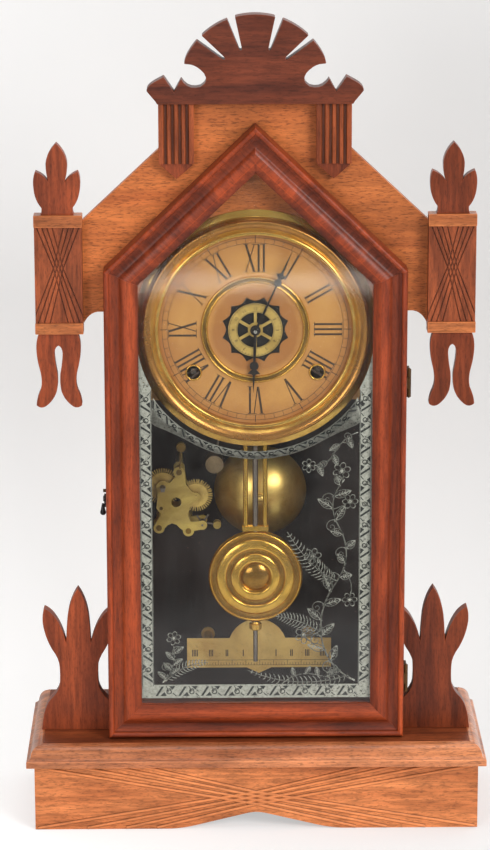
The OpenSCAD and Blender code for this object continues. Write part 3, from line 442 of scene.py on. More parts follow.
def steel(name, tone, rough=0.35, rust=0.25, metal=1.0):
    """Old iron or steel wire and arbors, browned in patches."""
    material, tree, shader = blank(name, Metallic=metal)
    place = here(tree)
    cloud = noise(tree, place, 130.0, 5.0, 0.65)
    brown = ramp(tree, cloud, (0.45, 0), (0.7, rust))
    feed(tree, shader, Base_Color=mixed(tree, shade(tone), RUST, brown),
         Roughness=maths(tree, "ADD", maths(tree, "MULTIPLY", cloud, 0.3), rough - 0.12),
         Normal=relief(tree, noise(tree, place, 1500.0, 3.0), 0.25, 0.00005))
    return material


def dial_paper(name, fresh, aged):
    """Varnished dial paper, browner at its rim, in its middle and in blotches."""
    material, tree, shader = blank(name, Coat_Weight=0.12, Coat_Roughness=0.35)
    place = here(tree)
    away = away_from(tree, place, DIAL)
    cloud = noise(tree, place, 34.0, 5.0, 0.6)
    fibre = noise(tree, place, 1100.0, 4.0, 0.7)
    edge = span(tree, away, 0.052, 0.069, 0.0, 0.85)
    middle = span(tree, away, 0.033, 0.028, 0.0, 0.9)
    blotch = ramp(tree, cloud, (0.38, 0), (0.72, 0.6))
    age = maths(tree, "MINIMUM", maths(tree, "ADD", maths(tree, "ADD", edge, middle), blotch), 1.0)
    tone = mixed(tree, shade(fresh), shade(aged), age)
    tone = times(tree, tone, ramp(tree, fibre, (0.3, 0.88), (0.6, 1.03)))
    feed(tree, shader, Base_Color=tone, Normal=relief(tree, fibre, 0.2, 0.00006),
         Roughness=maths(tree, "ADD", maths(tree, "MULTIPLY", cloud, 0.2), 0.4))
    return material


def printed(name, ink, wear, rough=0.5, gap=0.36):
    """Ink or silver leaf with worn specks where it has flaked away; gap sets how many."""
    material, tree, shader = blank(name, Metallic=0.0, Roughness=rough)
    place = here(tree)
    specks = noise(tree, place, 420.0, 5.0, 0.7)
    patches = noise(tree, place, 26.0, 2.0)
    left = maths(tree, "ADD", specks, maths(tree, "MULTIPLY", patches, 0.35))
    feed(tree, shader, Alpha=ramp(tree, left, (gap + 0.14, 1 - wear), (gap + 0.22, 1)),
         Base_Color=mixed(tree, shade(ink), shade(ink, 0.62),
                          ramp(tree, specks, (0.38, 1), (0.62, 0))))
    return material


def dark_lining(name, tone, fleck):
    """Dark board of the inside, its darkness part stain and part painted shade of the unlit case,
    with pale dust specks and faint grain.
    """
    material, tree, shader = blank(name, Roughness=0.6)
    place = here(tree)
    grain = noise(tree, mapped(tree, place, Scale=(1, 1, 0.1)), 300.0, 4.0, 0.6)
    dust = ramp(tree, noise(tree, place, 520.0, 2.0), (0.715, 0), (0.75, 0.5))
    board = mixed(tree, shade(tone, 0.6), shade(tone, 1.35), grain)
    feed(tree, shader, Base_Color=mixed(tree, board, shade(fleck), dust),
         Normal=relief(tree, grain, 0.3, 0.0002))
    return material


def old_glass(name):
    """Thin clear glass with a soft reflection on its outer side and a trace of dust."""
    material = bpy.data.materials.new(name)
    tree = emptied(material)
    place = here(tree)
    ripple = relief(tree, noise(tree, place, 9.0, 1.0), 0.15, 0.002)
    clear = add(tree, "BsdfTransparent", {"Color": (0.95, 0.965, 0.955, 1)}).outputs[0]
    shine = add(tree, "BsdfGlossy", {"Color": (1, 1, 1, 1), "Roughness": 0.05,
                                     "Normal": ripple}).outputs[0]
    film = add(tree, "BsdfDiffuse", {"Color": (0.75, 0.75, 0.72, 1)}).outputs[0]
    outer = maths(tree, "SUBTRACT", 1.0, add(tree, "NewGeometry").outputs["Backfacing"])
    edge = maths(tree, "MULTIPLY", add(tree, "Fresnel", {"IOR": 1.5}).outputs["Fac"], outer)
    haze = ramp(tree, noise(tree, place, 60.0, 6.0, 0.7), (0.42, 0), (0.8, 0.012))
    show(tree, either(tree, haze, either(tree, edge, clear, shine), film))
    return material


def rays(tree):
    """Two values: 1 for what the camera sees, also through glass, and 1 for reflections."""
    path = add(tree, "LightPath").outputs
    return (maths(tree, "MAXIMUM", path["Is Camera Ray"], path["Is Transmission Ray"]),
            path["Is Glossy Ray"])


def floor_finish(name):
    """Matt pale board that glows a little for the camera, with painted light and shade: the glow
    is brighter low down and at the left, and darker up the backdrop and at the right.

    Metal sees it dim beyond the table, a painted dark room, apart from one pale strip that glows
    for reflections only, a painted reflection though it is no lamp."""
    material = bpy.data.materials.new(name)
    tree = emptied(material)
    seen, glossy = rays(tree)
    x, y, z = split(tree, here(tree))
    # painted light and shade: the camera sees the glow brighter low down and at the left, darker
    # higher up and at the right
    level = maths(tree, "MULTIPLY", span(tree, z, 0.02, 0.3, 1.25, 0.72),
                  span(tree, x, -0.2, 0.25, 1.3, 0.66))
    # painted dark reflection: beyond the table, reflections see a dim board
    beyond = span(tree, y, -0.45, -0.56, 0.0, 0.8)
    # painted reflection: a pale strip that glows for reflections only, though it is no lamp
    painted_reflection_strip = maths(tree, "MULTIPLY", maths(tree, "LESS_THAN", y, -1.80),
                     maths(tree, "GREATER_THAN", y, -1.91))
    matt = add(tree, "BsdfDiffuse", {"Color": (0.82, 0.815, 0.81, 1)}).outputs[0]
    dim = add(tree, "BsdfDiffuse", {"Color": (0.05, 0.05, 0.05, 1)}).outputs[0]
    pale = add(tree, "Emission", {"Color": (1, 0.98, 0.94, 1), "Strength": 5.0}).outputs[0]
    glow = add(tree, "Emission", {"Color": (0.97, 0.965, 0.96, 1),
                                  "Strength": level}).outputs[0]
    behind = add(tree, "BsdfTransparent", {"Color": (1, 1, 1, 1)}).outputs[0]
    shown = either(tree, maths(tree, "MULTIPLY", glossy, beyond), matt, dim)
    shown = either(tree, maths(tree, "MULTIPLY", glossy, painted_reflection_strip), shown, pale)
    shown = either(tree, maths(tree, "MULTIPLY", seen, 0.4), shown, glow)
    show(tree, either(tree, add(tree, "NewGeometry").outputs["Backfacing"], shown, behind))
    return material


# ---------------------------------------------------------------- settings

def display(r, g, b):
    """The default of a colour setting, from 0 to 255 display values."""
    return srgb(r, g, b)[:3]


COLOUR = {"subtype": "COLOR", "size": 3, "min": 0, "max": 1}


class ClockColours(PropertyGroup):
    """The finishes of the clock, as linear colours."""
    fascia_light: FloatVectorProperty(name="Fascia light", default=display(200, 114, 58),
        description="Pale figure of the fascia walnut", **COLOUR)
    fascia_dark: FloatVectorProperty(name="Fascia dark", default=display(170, 90, 44),
        description="Dark figure of the fascia walnut", **COLOUR)
    door_light: FloatVectorProperty(name="Door light", default=display(178, 76, 34),
        description="Pale figure of the door mouldings", **COLOUR)
    door_dark: FloatVectorProperty(name="Door dark", default=display(116, 43, 19),
        description="Dark figure of the door mouldings", **COLOUR)
    crest_light: FloatVectorProperty(name="Crest light", default=display(150, 68, 34),
        description="Pale figure of the carved crests", **COLOUR)
    crest_dark: FloatVectorProperty(name="Crest dark", default=display(106, 45, 22),
        description="Dark figure of the carved crests", **COLOUR)
    base_light: FloatVectorProperty(name="Base light", default=display(234, 144, 86),
        description="Pale figure of the base walnut", **COLOUR)
    base_dark: FloatVectorProperty(name="Base dark", default=display(182, 101, 55),
        description="Dark figure of the base walnut", **COLOUR)
    brass_bright: FloatVectorProperty(name="Brass", default=display(232, 182, 86),
        description="Clean brass", **COLOUR)
    brass_dull: FloatVectorProperty(name="Tarnish", default=display(162, 108, 46),
        description="Tarnished brass", **COLOUR)
    paper_fresh: FloatVectorProperty(name="Dial paper", default=display(200, 142, 72),
        description="Dial paper between the numerals", **COLOUR)
    paper_aged: FloatVectorProperty(name="Aged paper", default=display(168, 106, 46),
        description="Dial paper at its rim and blotches", **COLOUR)
    silver: FloatVectorProperty(name="Silver print", default=display(180, 176, 165),
        description="Silver print on the glass", **COLOUR)


class ClockSizes(PropertyGroup):
    """The small sizes of the dressing that a maker would change."""
    ease: FloatProperty(name="Eased edge", default=0.5, min=0.1, max=1.5,
        description="Width of the rubbed edge on the wooden pieces, in millimetres")
    reeds: IntProperty(name="Reeds", default=4, min=2, max=6,
        description="Carved reeds in each direction on the skirt")
    reed_wide: FloatProperty(name="Reed width", default=2.9, min=1, max=4,
        description="Width of one reed at the middle of the skirt, in millimetres")
    numeral_low: FloatProperty(name="Numeral foot", default=40.8, min=30, max=50,
        description="Inner radius of the hour numerals, in millimetres")
    numeral_high: FloatProperty(name="Numeral head", default=60.0, min=50, max=64,
        description="Outer radius of the hour numerals, in millimetres")
    border: FloatProperty(name="Border", default=8.6, min=4, max=14,
        description="Width of the printed border on the glass, in millimetres")
    lamp: FloatProperty(name="Key lamp", default=38.0, min=1, max=400, subtype="POWER",
        description="Power of the key lamp, in watts")


# each finish: its maker, the material's name, its colours (settings or display values), the rest
RECIPES = {
    # fascia, crest and base take painted light and shade: paler at the left, darker at the right
    "fascia": (walnut, "fascia_walnut", ("fascia_light", "fascia_dark"), dict(
        grain="X", fleck=0.5, rough=0.5, figure=0.6, coat=0.05, streak=0.22, fade=0.4)),
    "stile": (walnut, "stile_walnut", ("door_light", "door_dark"), dict(rough=0.46, coat=0.12)),
    "rail": (walnut, "rail_walnut", ("door_light", "door_dark"), dict(
        grain="X", rough=0.46, coat=0.12)),
    "rafter": (walnut, "rafter_walnut", ((170, 70, 30), (108, 40, 17)), dict(
        grain=-ROOF, rough=0.48, coat=0.1, mirror=True)),
    "pediment": (walnut, "pediment_walnut", ((122, 57, 33), (84, 37, 22)), dict(
        grain="X", figure=0.9, coat=0.08, streak=0.3)),
    "crest": (walnut, "crest_walnut", ("crest_light", "crest_dark"), dict(
        figure=0.9, coat=0.08, seed=0.31, fade=0.55)),
    "capital": (walnut, "capital_walnut", ((164, 82, 44), (118, 56, 30)), dict(
        figure=1.0, coat=0.08, seed=0.53)),
    "corbel": (walnut, "corbel_walnut", ((166, 82, 42), (122, 56, 28)), dict(
        fleck=0.25, figure=1.2, coat=0.06, seed=0.77)),
    "cap": (walnut, "cap_walnut", ((204, 120, 66), (150, 80, 42)), dict(
        grain="X", fleck=0.4, rough=0.42, figure=1.0, coat=0.2, seed=0.12)),
    "base": (walnut, "base_walnut", ("base_light", "base_dark"), dict(
        grain="X", fleck=0.38, figure=0.7, seed=0.9, fade=0.2)),
    "base_side": (walnut, "base_side_walnut", ("base_light", "base_dark"), dict(
        grain="Y", fleck=0.45, figure=0.7, coat=0.2, seed=0.4)),
    "platform": (walnut, "platform_walnut", ((158, 80, 42), (108, 50, 26)), dict(
        grain="X", fleck=0.4, rough=0.4, seed=0.21)),
    "moulding": (walnut, "moulding_walnut", ((230, 146, 94), (160, 90, 54)), dict(
        grain="X", fleck=0.45, rough=0.3, coat=0.5, seed=0.35)),
    "case": (walnut, "case_walnut", ((140, 74, 46), (92, 46, 30)), dict(
        fleck=0.35, rough=0.42, coat=0.25, seed=0.63)),
    "pine": (walnut, "pine", ((198, 152, 98), (160, 112, 68)), dict(
        fleck=0.12, rough=0.6, figure=0.6, coat=0.0, seed=0.47, streak=0.2)),
    "lining": (dark_lining, "dark_lining", ((66, 52, 50), (170, 120, 100)), {}),
    "brass": (brass, "plate_brass", ("brass_bright", "brass_dull"), dict(stain=0.75)),
    "bob": (brass, "bob_brass", ("brass_bright", "brass_dull"), dict(
        rough=0.2, stain=0.4, grain=0.35, centre=BOB, metal=0.85)),
    "dome": (brass, "bob_dome_brass", ((182, 134, 62), (118, 82, 36)), dict(
        rough=0.22, stain=0.7, grain=0.25, centre=BOB, metal=0.85)),
    "bell": (brass, "bell_brass", ((255, 218, 130), (206, 148, 72)), dict(
        grain=0.15, centre=BELL, metal=0.86)),
    "bezel": (brass, "bezel_brass", ((236, 190, 98), (160, 108, 48)), dict(
        rough=0.2, stain=0.9, centre=DIAL, scale=22.0, metal=0.75)),
    "bronze": (brass, "bezel_bronze", ((196, 136, 68), (124, 80, 36)), dict(
        rough=0.26, centre=DIAL, scale=22.0, metal=0.75)),
    "ring": (brass, "ring_brass", ("brass_bright", "brass_dull"), dict(
        rough=0.2, stain=0.4, grain=0.15, centre=DIAL, metal=0.85)),
    "disc": (brass, "disc_brass", ((220, 184, 104), (158, 124, 60)), dict(
        stain=0.9, centre=DIAL, metal=0.4)),
    "scale": (brass, "scale_brass", ((232, 190, 112), (194, 146, 78)), dict(
        rough=0.42, metal=0.25)),
    "hinge": (brass, "hinge_brass", ((110, 78, 44), (62, 42, 26)), dict(
        rough=0.45, stain=0.9, metal=0.7)),
    "works": (brass, "works_brass", ((150, 116, 58), (80, 58, 32)), dict(rough=0.4)),
    "alarm": (brass, "alarm_brass", ((212, 180, 98), (152, 120, 58)), dict(
        rough=0.38, metal=0.4)),
    "wheel": (brass, "wheel_brass", ((226, 188, 108), (150, 116, 62)), dict(metal=0.5)),
    "copper": (brass, "hammer_copper", ((160, 134, 102), (96, 76, 56)), dict(
        rough=0.42, metal=0.5)),
    "steel": (steel, "wire_steel", ((146, 134, 126),), {}),
    "pin": (steel, "bright_steel", ((214, 208, 200),), dict(rough=0.25, rust=0.1)),
    "blued": (steel, "spring_steel", ((70, 74, 92),), dict(rough=0.3, rust=0.2)),
    "black": (steel, "black_steel", ((34, 30, 30),), dict(rough=0.4, rust=0.3, metal=0.4)),
    # painted shadow: the black of the disc behind the dial's star cut
    "dark": (steel, "black_japan", ((20, 15, 14),), dict(rough=0.75, rust=0.1, metal=0.0)),
    "paper": (dial_paper, "dial_paper", ("paper_fresh", "paper_aged"), {}),
    "ink": (printed, "dial_ink", ((72, 50, 36),), dict(wear=0.6, gap=0.37)),
    "silver": (printed, "silver_print", ("silver",), dict(wear=0.7, rough=0.45)),
    "fine_silver": (printed, "fine_silver_print", ("silver",), dict(
        wear=0.85, rough=0.45, gap=0.4)),
    "backing": (printed, "border_backing", ((34, 32, 30),), dict(wear=0.2, rough=0.6, gap=0.3)),
    "glass": (old_glass, "old_glass", (), {}),
}

FINISH = {}


def finishes():
    """The materials, made once from the recipes and the colours in the panel."""
    colours = bpy.context.scene.clock_colours
    if not FINISH:
        for key, (maker, name, tones, rest) in RECIPES.items():
            tones = [getattr(colours, t) if isinstance(t, str) else srgb(*t) for t in tones]
            FINISH[key] = maker(name, *tones, **rest)
    return FINISH


# ---------------------------------------------------------------- stage

def set_camera(scene):
    """Stands the camera where the photograph was taken from."""
    lens = bpy.data.cameras.new("camera")
    lens.sensor_fit = "VERTICAL"
    lens.sensor_height = FILM_HIGH
    lens.lens = LENS
    lens.clip_start = 0.05
    camera = bpy.data.objects.new("camera", lens)
    camera.matrix_world = (Matrix.Translation(CAMERA_AT)
                           @ Matrix.Rotation(radians(CAMERA_PAN), 4, "Z")
                           @ Matrix.Rotation(radians(CAMERA_PITCH), 4, "X")
                           @ Matrix.Rotation(radians(CAMERA_ROLL), 4, "Z"))
    scene.collection.objects.link(camera)
    scene.camera = camera


def set_lamps(scene):
    """Hangs a key, a fill and a top lamp, all wide and soft."""
    power = scene.clock_sizes.lamp
    for name, at, size, energy in (("key_lamp", (1.25, -1.7, 1.25), 0.9, power),
                                   ("fill_lamp", (-0.95, -2.1, 0.7), 0.7, power * 0.38),
                                   ("top_lamp", (0.1, -0.5, 2.2), 1.4, power * 0.35)):
        light = bpy.data.lights.new(name, "AREA")
        light.shape, light.energy = "RECTANGLE", energy
        light.size = light.size_y = size
        lamp = bpy.data.objects.new(name, light)
        lamp.location = at
        aim = Vector(LAMPS_AIM) - Vector(at)
        lamp.rotation_euler = aim.to_track_quat("-Z", "Y").to_euler()
        scene.collection.objects.link(lamp)


def set_world(scene):
    """Soft even air, seen as pale paper."""
    scene.world = bpy.data.worlds.new("studio")
    tree = emptied(scene.world)
    air = add(tree, "Background", {"Color": (0.8, 0.8, 0.8, 1), "Strength": 0.32}).outputs[0]
    paper = add(tree, "Background", {"Color": (0.93, 0.93, 0.92, 1),
                                     "Strength": 1.0}).outputs[0]
    show(tree, either(tree, rays(tree)[0], air, paper), "World")


def floor_sweep(material):
    """A floor that rises behind the clock in one smooth sweep, in metres."""
    sweep = ([(-4.0, 0.0), (0.14, 0.0)] + bow((0.14, 0), (0.34, 0), (0.34, 0.2), 16)[1:]
             + [(0.34, 3.0)])
    bm = bmesh.new()
    verts = [bm.verts.new((-3, y, z)) for y, z in sweep]
    edges = [bm.edges.new(pair) for pair in zip(verts, verts[1:])]
    moved = bmesh.ops.extrude_edge_only(bm, edges=edges)
    bmesh.ops.translate(bm, vec=(6, 0, 0), verts=[v for v in moved["geom"]
                                                  if isinstance(v, bmesh.types.BMVert)])
    for face in bm.faces:
        face.normal_update()
        if face.normal.z < -0.01 or face.normal.y > 0.01:
            face.normal_flip()
        face.smooth = True
    mesh = bpy.data.meshes.new("floor")
    bm.to_mesh(mesh)
    bm.free()
    mesh.materials.append(material)
    return mesh


class CLOCK_OT_stage(Operator):
    """Sets the camera of the photograph, soft lamps, pale floor and backdrop"""
    bl_idname = "clock.stage"
    bl_label = "Stage"

    def execute(self, context):
        scene = context.scene
        scene.view_settings.view_transform = "Standard"
        set_camera(scene)
        set_lamps(scene)
        set_world(scene)
        floor = bpy.data.objects.new("floor", floor_sweep(floor_finish("pale_floor")))
        scene.collection.objects.link(floor)
        return {"FINISHED"}


# ---------------------------------------------------------------- pieces

def skirt_board(bm, ease):
    """The front board of the base, its foot line arched and its ends mitred to the sides."""
    arch = (bow((61, 0), (52, 0.4), (43, 2.6), 6) + [(8, 11.2)]
            + bow((8, 11.2), (3, 12.4), (0, 12.4), 4)[1:])
    low = arch + [(-x, z) for x, z in reversed(arch[:-1])]
    outline = [(SKIRT_HALF, 0)] + low + [(-SKIRT_HALF, 0), (-SKIRT_HALF, SKIRT_HIGH),
                                         (SKIRT_HALF, SKIRT_HIGH)]
    for vert in plate(bm, outline, SKIRT_FACE, SKIRT_FACE + SKIRT_THICK):
        if abs(vert.co.x) > SKIRT_HALF - 0.01:
            vert.co.x -= SKIRT_THICK if vert.co.x > 0 else -SKIRT_THICK
    front = [e for e in bm.edges if all(v.co.y < SKIRT_FACE + 0.01 for v in e.verts)
             and all(v.co.z < SKIRT_HIGH - 1 for v in e.verts)]
    bmesh.ops.bevel(bm, geom=front, offset=ease, offset_type="OFFSET", affect="EDGES",
                    segments=2, profile=0.5, material=-1)


REED_ROUND = ((-1, 0), (-0.8, 0.7), (-0.45, 1.15), (0, 1.3), (0.45, 1.15), (0.8, 0.7), (1, 0))


def reed_length(bm, a, b, wide):
    """One half-round reed on the skirt's face, from a to b."""
    turned = atan2(b[1] - a[1], b[0] - a[0])
    along = hypot(b[0] - a[0], b[1] - a[1])
    ring = [bm.verts.new((a[0] - sin(turned) * h * wide / 2, SKIRT_FACE + 0.25 - d,
                          a[1] + cos(turned) * h * wide / 2)) for h, d in REED_ROUND]
    draw_out(bm, ring, (along * cos(turned), 0, along * sin(turned)))


def skirt_reeds(bm, count, wide):
    """Two bands of reeds that cross in the middle of the skirt, with painted shade and grime where
    they are low and a paler top that is partly wear and partly painted highlight.
    """
    ends_at, top, foot = 155.0, SKIRT_HIGH - 1.2, 1.4
    for side in (-1, 1):
        for i in range(count):
            k = i - (count - 1) / 2
            mid = 23.2 - k * (wide + 0.1)
            left, right = radians(12.0 - 1.1 * k), radians(11.7 + 1.4 * k)
            ends = []
            for x in (-ends_at, 0.0, ends_at):
                z = mid - x * (sin(left) / cos(left) if x < 0 else sin(right) / cos(right))
                if z > top:
                    x, z = -(top - mid) * cos(left) / sin(left), top
                if z < foot:
                    x, z = (mid - foot) * cos(right) / sin(right), foot
                ends.append((x * side, z))
            for a, b in zip(ends, ends[1:]):
                reed_length(bm, a, b, wide)
    # painted shade with grime on the low flanks of each reed, and a paler rubbed top that is
    # partly painted highlight
    deep, worn = bm.loops.layers.float.new("deep"), bm.loops.layers.float.new("worn")
    for face in bm.faces:
        for loop in face.loops:
            low = min(max((loop.vert.co.y - SKIRT_FACE + 1.0) / 0.75, 0.0), 1.0)
            loop[deep], loop[worn] = low, 1.0 - low


class CLOCK_OT_base(Operator):
    """Makes the skirt with its carved reeds, and the moulded platform"""
    bl_idname = "clock.base"
    bl_label = "Base"

    def execute(self, context):
        f, s = finishes(), context.scene.clock_sizes
        bm = bmesh.new()
        skirt_board(bm, s.ease)
        skirt = finish_piece("skirt_front", bm, "clock_case", f["base"], 38, weighted=True)
        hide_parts("base_front")
        bm = bmesh.new()
        skirt_reeds(bm, s.reeds, s.reed_wide)
        reeds = finish_piece("skirt_reeds", bm, "clock_case", f["base"], 50)
        soften("base_sides", "clock_case", f["base_side"], s.ease)
        soften("platform_board", "clock_case", f["platform"], s.ease)
        soften("platform_mouldings", "clock_case", f["moulding"], 0.3)
        soften("glue_blocks", "clock_case", f["pine"], s.ease)
        return {"FINISHED"}


class CLOCK_OT_case(Operator):
    """Finishes the sides, top, backboard and fascia"""
    bl_idname = "clock.case"
    bl_label = "Case"

    def execute(self, context):
        f, ease = finishes(), context.scene.clock_sizes.ease
        soften("case_sides", "clock_case", f["case"], ease)
        soften("case_top", "clock_case", f["case"], ease)
        soften("fascia_board", "clock_case", f["fascia"], ease * 0.7)
        back = soften("backboard", "clock_case", f["pine"], ease)
        # the front face of the backboard takes the dark lining, part stain and part painted shade
        # of the unlit inside
        back.data.materials.append(f["lining"])
        for face in back.data.polygons:
            if face.normal.y < -0.9:
                face.material_index = 1
        return {"FINISHED"}


class CLOCK_OT_crests(Operator):
    """Finishes the pediment, corbels, capitals, finials, pendants and side crests"""
    bl_idname = "clock.crests"
    bl_label = "Carved crests"

    def execute(self, context):
        f, ease = finishes(), context.scene.clock_sizes.ease
        soften("pediment", "clock_case", f["pediment"], ease)
        corbels = soften("corbels", "clock_case", f["corbel"], ease * 0.5, 50,
                         CORBEL_HOLLOW)
        # painted shade: the pointed undersides of the corbels, below z 473.8, take the darker
        # crest walnut
        second_finish(corbels, f["crest"], lambda x, y, z: z < 473.8)
        soften("capital_blocks", "clock_case", f["capital"], ease * 0.3,
               hollow=CAPITAL_HOLLOW)
        soften("capital_caps", "clock_case", f["cap"], ease)
        for node in ("finials", "pendants", "side_crests"):
            soften(node, "clock_case", f["crest"], ease)
        return {"FINISHED"}


class CLOCK_OT_door(Operator):
    """Finishes the moulded door members, glazing strips, glass, hinges and latch"""
    bl_idname = "clock.door"
    bl_label = "Door"

    def execute(self, context):
        f = finishes()
        for node, finish in (("door_stiles", "stile"), ("door_bottom_rail", "rail"),
                             ("door_rafters", "rafter")):
            soften(node, "door", f[finish], 0.25, 30, DOOR_HOLLOW)
        soften("glazing_strips", "door", f["stile"], 0.4)
        dress(f["glass"], "door_glass")
        soften("door_hinge_leaves", "door", f["hinge"], 0.12)
        soften("case_hinge_leaves", "clock_case", f["hinge"], 0.12)
        soften("door_latch", "latch", f["black"], 0.15)
        return {"FINISHED"}


def silver(bm, path, width):
    """A line of silver print on the back of the glass."""
    strip(bm, path, width, PRINT_MID, PRINT_FAR)


def leaf(bm, x, z, turned, long, wide):
    """A pointed leaf as an open outline with a middle vein and side veins."""
    def put(points):
        c, s = cos(turned), sin(turned)
        return [(x + u * c - v * s, z + u * s + v * c) for u, v in points]
    for side in (-1, 1):
        silver(bm, put(bow((0, 0), (long * 0.35, side * wide), (long, 0), 6)), 0.62)
        for k in (0.25, 0.42, 0.59):
            silver(bm, put([(long * k, 0), (long * (k + 0.14), side * wide * 0.30)]), 0.42)
    silver(bm, put([(-long * 0.12, 0), (long * 0.96, 0)]), 0.55)


def frond(bm, path, longest):
    """A fern leaf: a stem with paired leaflets that shorten towards its tip."""
    silver(bm, path, [0.8 - 0.4 * i / len(path) for i in range(len(path))])
    for i in range(1, len(path) - 1):
        x, z = path[i]
        a = atan2(path[i + 1][1] - path[i - 1][1], path[i + 1][0] - path[i - 1][0])
        long = longest * sin(pi * (0.2 + 0.78 * i / len(path)))
        for side in (-1, 1):
            u = a + side * 1.05
            tip = (x + long * cos(u), z + long * sin(u))
            mid = (x + long * 0.5 * cos(u + side * 0.2), z + long * 0.5 * sin(u + side * 0.2))
            silver(bm, [(x, z), mid, tip], [0.35, 0.8, 0.25])


def daisy(bm, x, z, size, turned):
    """A flower of six round petals with a small solid eye."""
    for i in range(6):
        a = turned + i * pi / 3
        c, s = cos(a), sin(a)
        loop = []
        for j in range(9):
            t = j / 8 * 2 * pi
            u, v = size * (0.62 + 0.36 * cos(t)), size * 0.3 * sin(t)
            loop.append((x + u * c - v * s, z + u * s + v * c))
        silver(bm, loop, 0.6)
    plate(bm, [(x + size * 0.2 * cos(i * pi / 4), z + size * 0.2 * sin(i * pi / 4))
               for i in range(8)], PRINT_MID, PRINT_FAR)


def curl(bm, x, z, turned, size, hand):
    """A tendril that winds inwards to its left (hand 1) or its right (hand -1)."""
    path, steps = [(x, z)], 20
    for i in range(steps):
        pace = size * (1 - 0.72 * i / steps) * 0.34
        turned += hand * (0.30 + 0.34 * i / steps)
        path.append((path[-1][0] + pace * cos(turned), path[-1][1] + pace * sin(turned)))
    silver(bm, path, [0.7 * (1 - 0.5 * i / steps) for i in range(steps + 1)])


def motif_band(bm, place, length, w, unit=15.5):
    """Dark slanting bars and scrolls along a border of width w.

    place maps (along, across) to (x, z)."""
    front, back = PRINT_NEAR, PRINT_MID
    count = max(1, round(length / unit))
    scroll = []
    for j in range(15):
        t = j / 14 * 2.9 * pi
        r = 2.1 * (1 - 0.2 * t / pi) * w / 8.6
        scroll.append((10.1 + r * cos(t + 0.8), w * 0.44 + r * sin(t + 0.8)))
    for i in range(count):
        start = i * (length / count) + 0.8

        def at(points):
            return [place(start + u, v) for u, v in points]
        for bar in ([(0.3, w * 0.1), (1.9, w * 0.1), (6.3, w * 0.86), (4.6, w * 0.86)],
                    [(3.6, w * 0.1), (8.2, w * 0.1), (6.6, w * 0.42)],
                    [(9.8, w * 0.88), (14.2, w * 0.88), (12.4, w * 0.6)]):
            plate(bm, at(bar), front, back)
        for line, thick in ((scroll, 0.62),
                            ([(7.9, w * 0.9), (9.1, w * 0.62), (8.6, w * 0.5)], 0.5),
                            ([(12.6, w * 0.34), (13.9, w * 0.18), (15.0, w * 0.12)], 0.6)):
            strip(bm, at(line), thick, front, back)


def print_border(leafing, dark, width):
    """The border of two sides, a foot band and the half ring under the dial."""
    # outer edge and foot of the border, top of its cuts, and its clear way round the bezel
    out, low, top, clear = 80.9, 91.4, 316.0, 82.2
    inner = out - width
    mid, far = PRINT_MID, PRINT_FAR
    for side in (-1, 1):
        rim = [out + (inner - out) * i / 6 for i in range(7)]
        plate(leafing, [(side * inner, low), (side * out, low)]
              + [(side * x, DIAL[1] - (clear * clear - x * x) ** 0.5) for x in rim], mid, far)
        for x in (inner + 0.35, out - 0.5):
            plate(dark, [(side * (x - 0.18), low + 9), (side * (x + 0.18), low + 9),
                         (side * (x + 0.18), top), (side * (x - 0.18), top)], PRINT_NEAR, mid)
        motif_band(dark, lambda a, v, k=side: (k * (inner + v), low + 10.5 + a),
                   top - low - 12, width)
    plate(leafing, [(-inner, low), (inner, low), (inner, low + 10), (-inner, low + 10)], mid, far)
    motif_band(dark, lambda a, v: (-inner + a, low + 0.7 + v), 2 * inner, 9.3, 16.5)

    def swell(t):
        """Outer radius of the half ring, which swells into the two upper corners."""
        rise = max(0.0, abs(t + pi / 2) - radians(30)) / radians(27)
        return 90.2 + 16 * rise * rise
    first, last = radians(-180 + 33.0), radians(-33.0)
    ring = [(first + (last - first) * i / 44) for i in range(45)]
    for a, b in zip(ring, ring[1:]):
        plate(leafing, [(DIAL[0] + max(-inner, min(inner, r * cos(t))), DIAL[1] + r * sin(t))
                        for r, t in ((84.6, a), (swell(a), a), (swell(b), b), (84.6, b))],
              mid, far)
    motif_band(dark, lambda a, v: (DIAL[0] + (84.8 + v * 0.6) * cos(first + a / 87),
                                   DIAL[1] + (84.8 + v * 0.6) * sin(first + a / 87)),
               87 * (last - first), 8.6, 15.0)


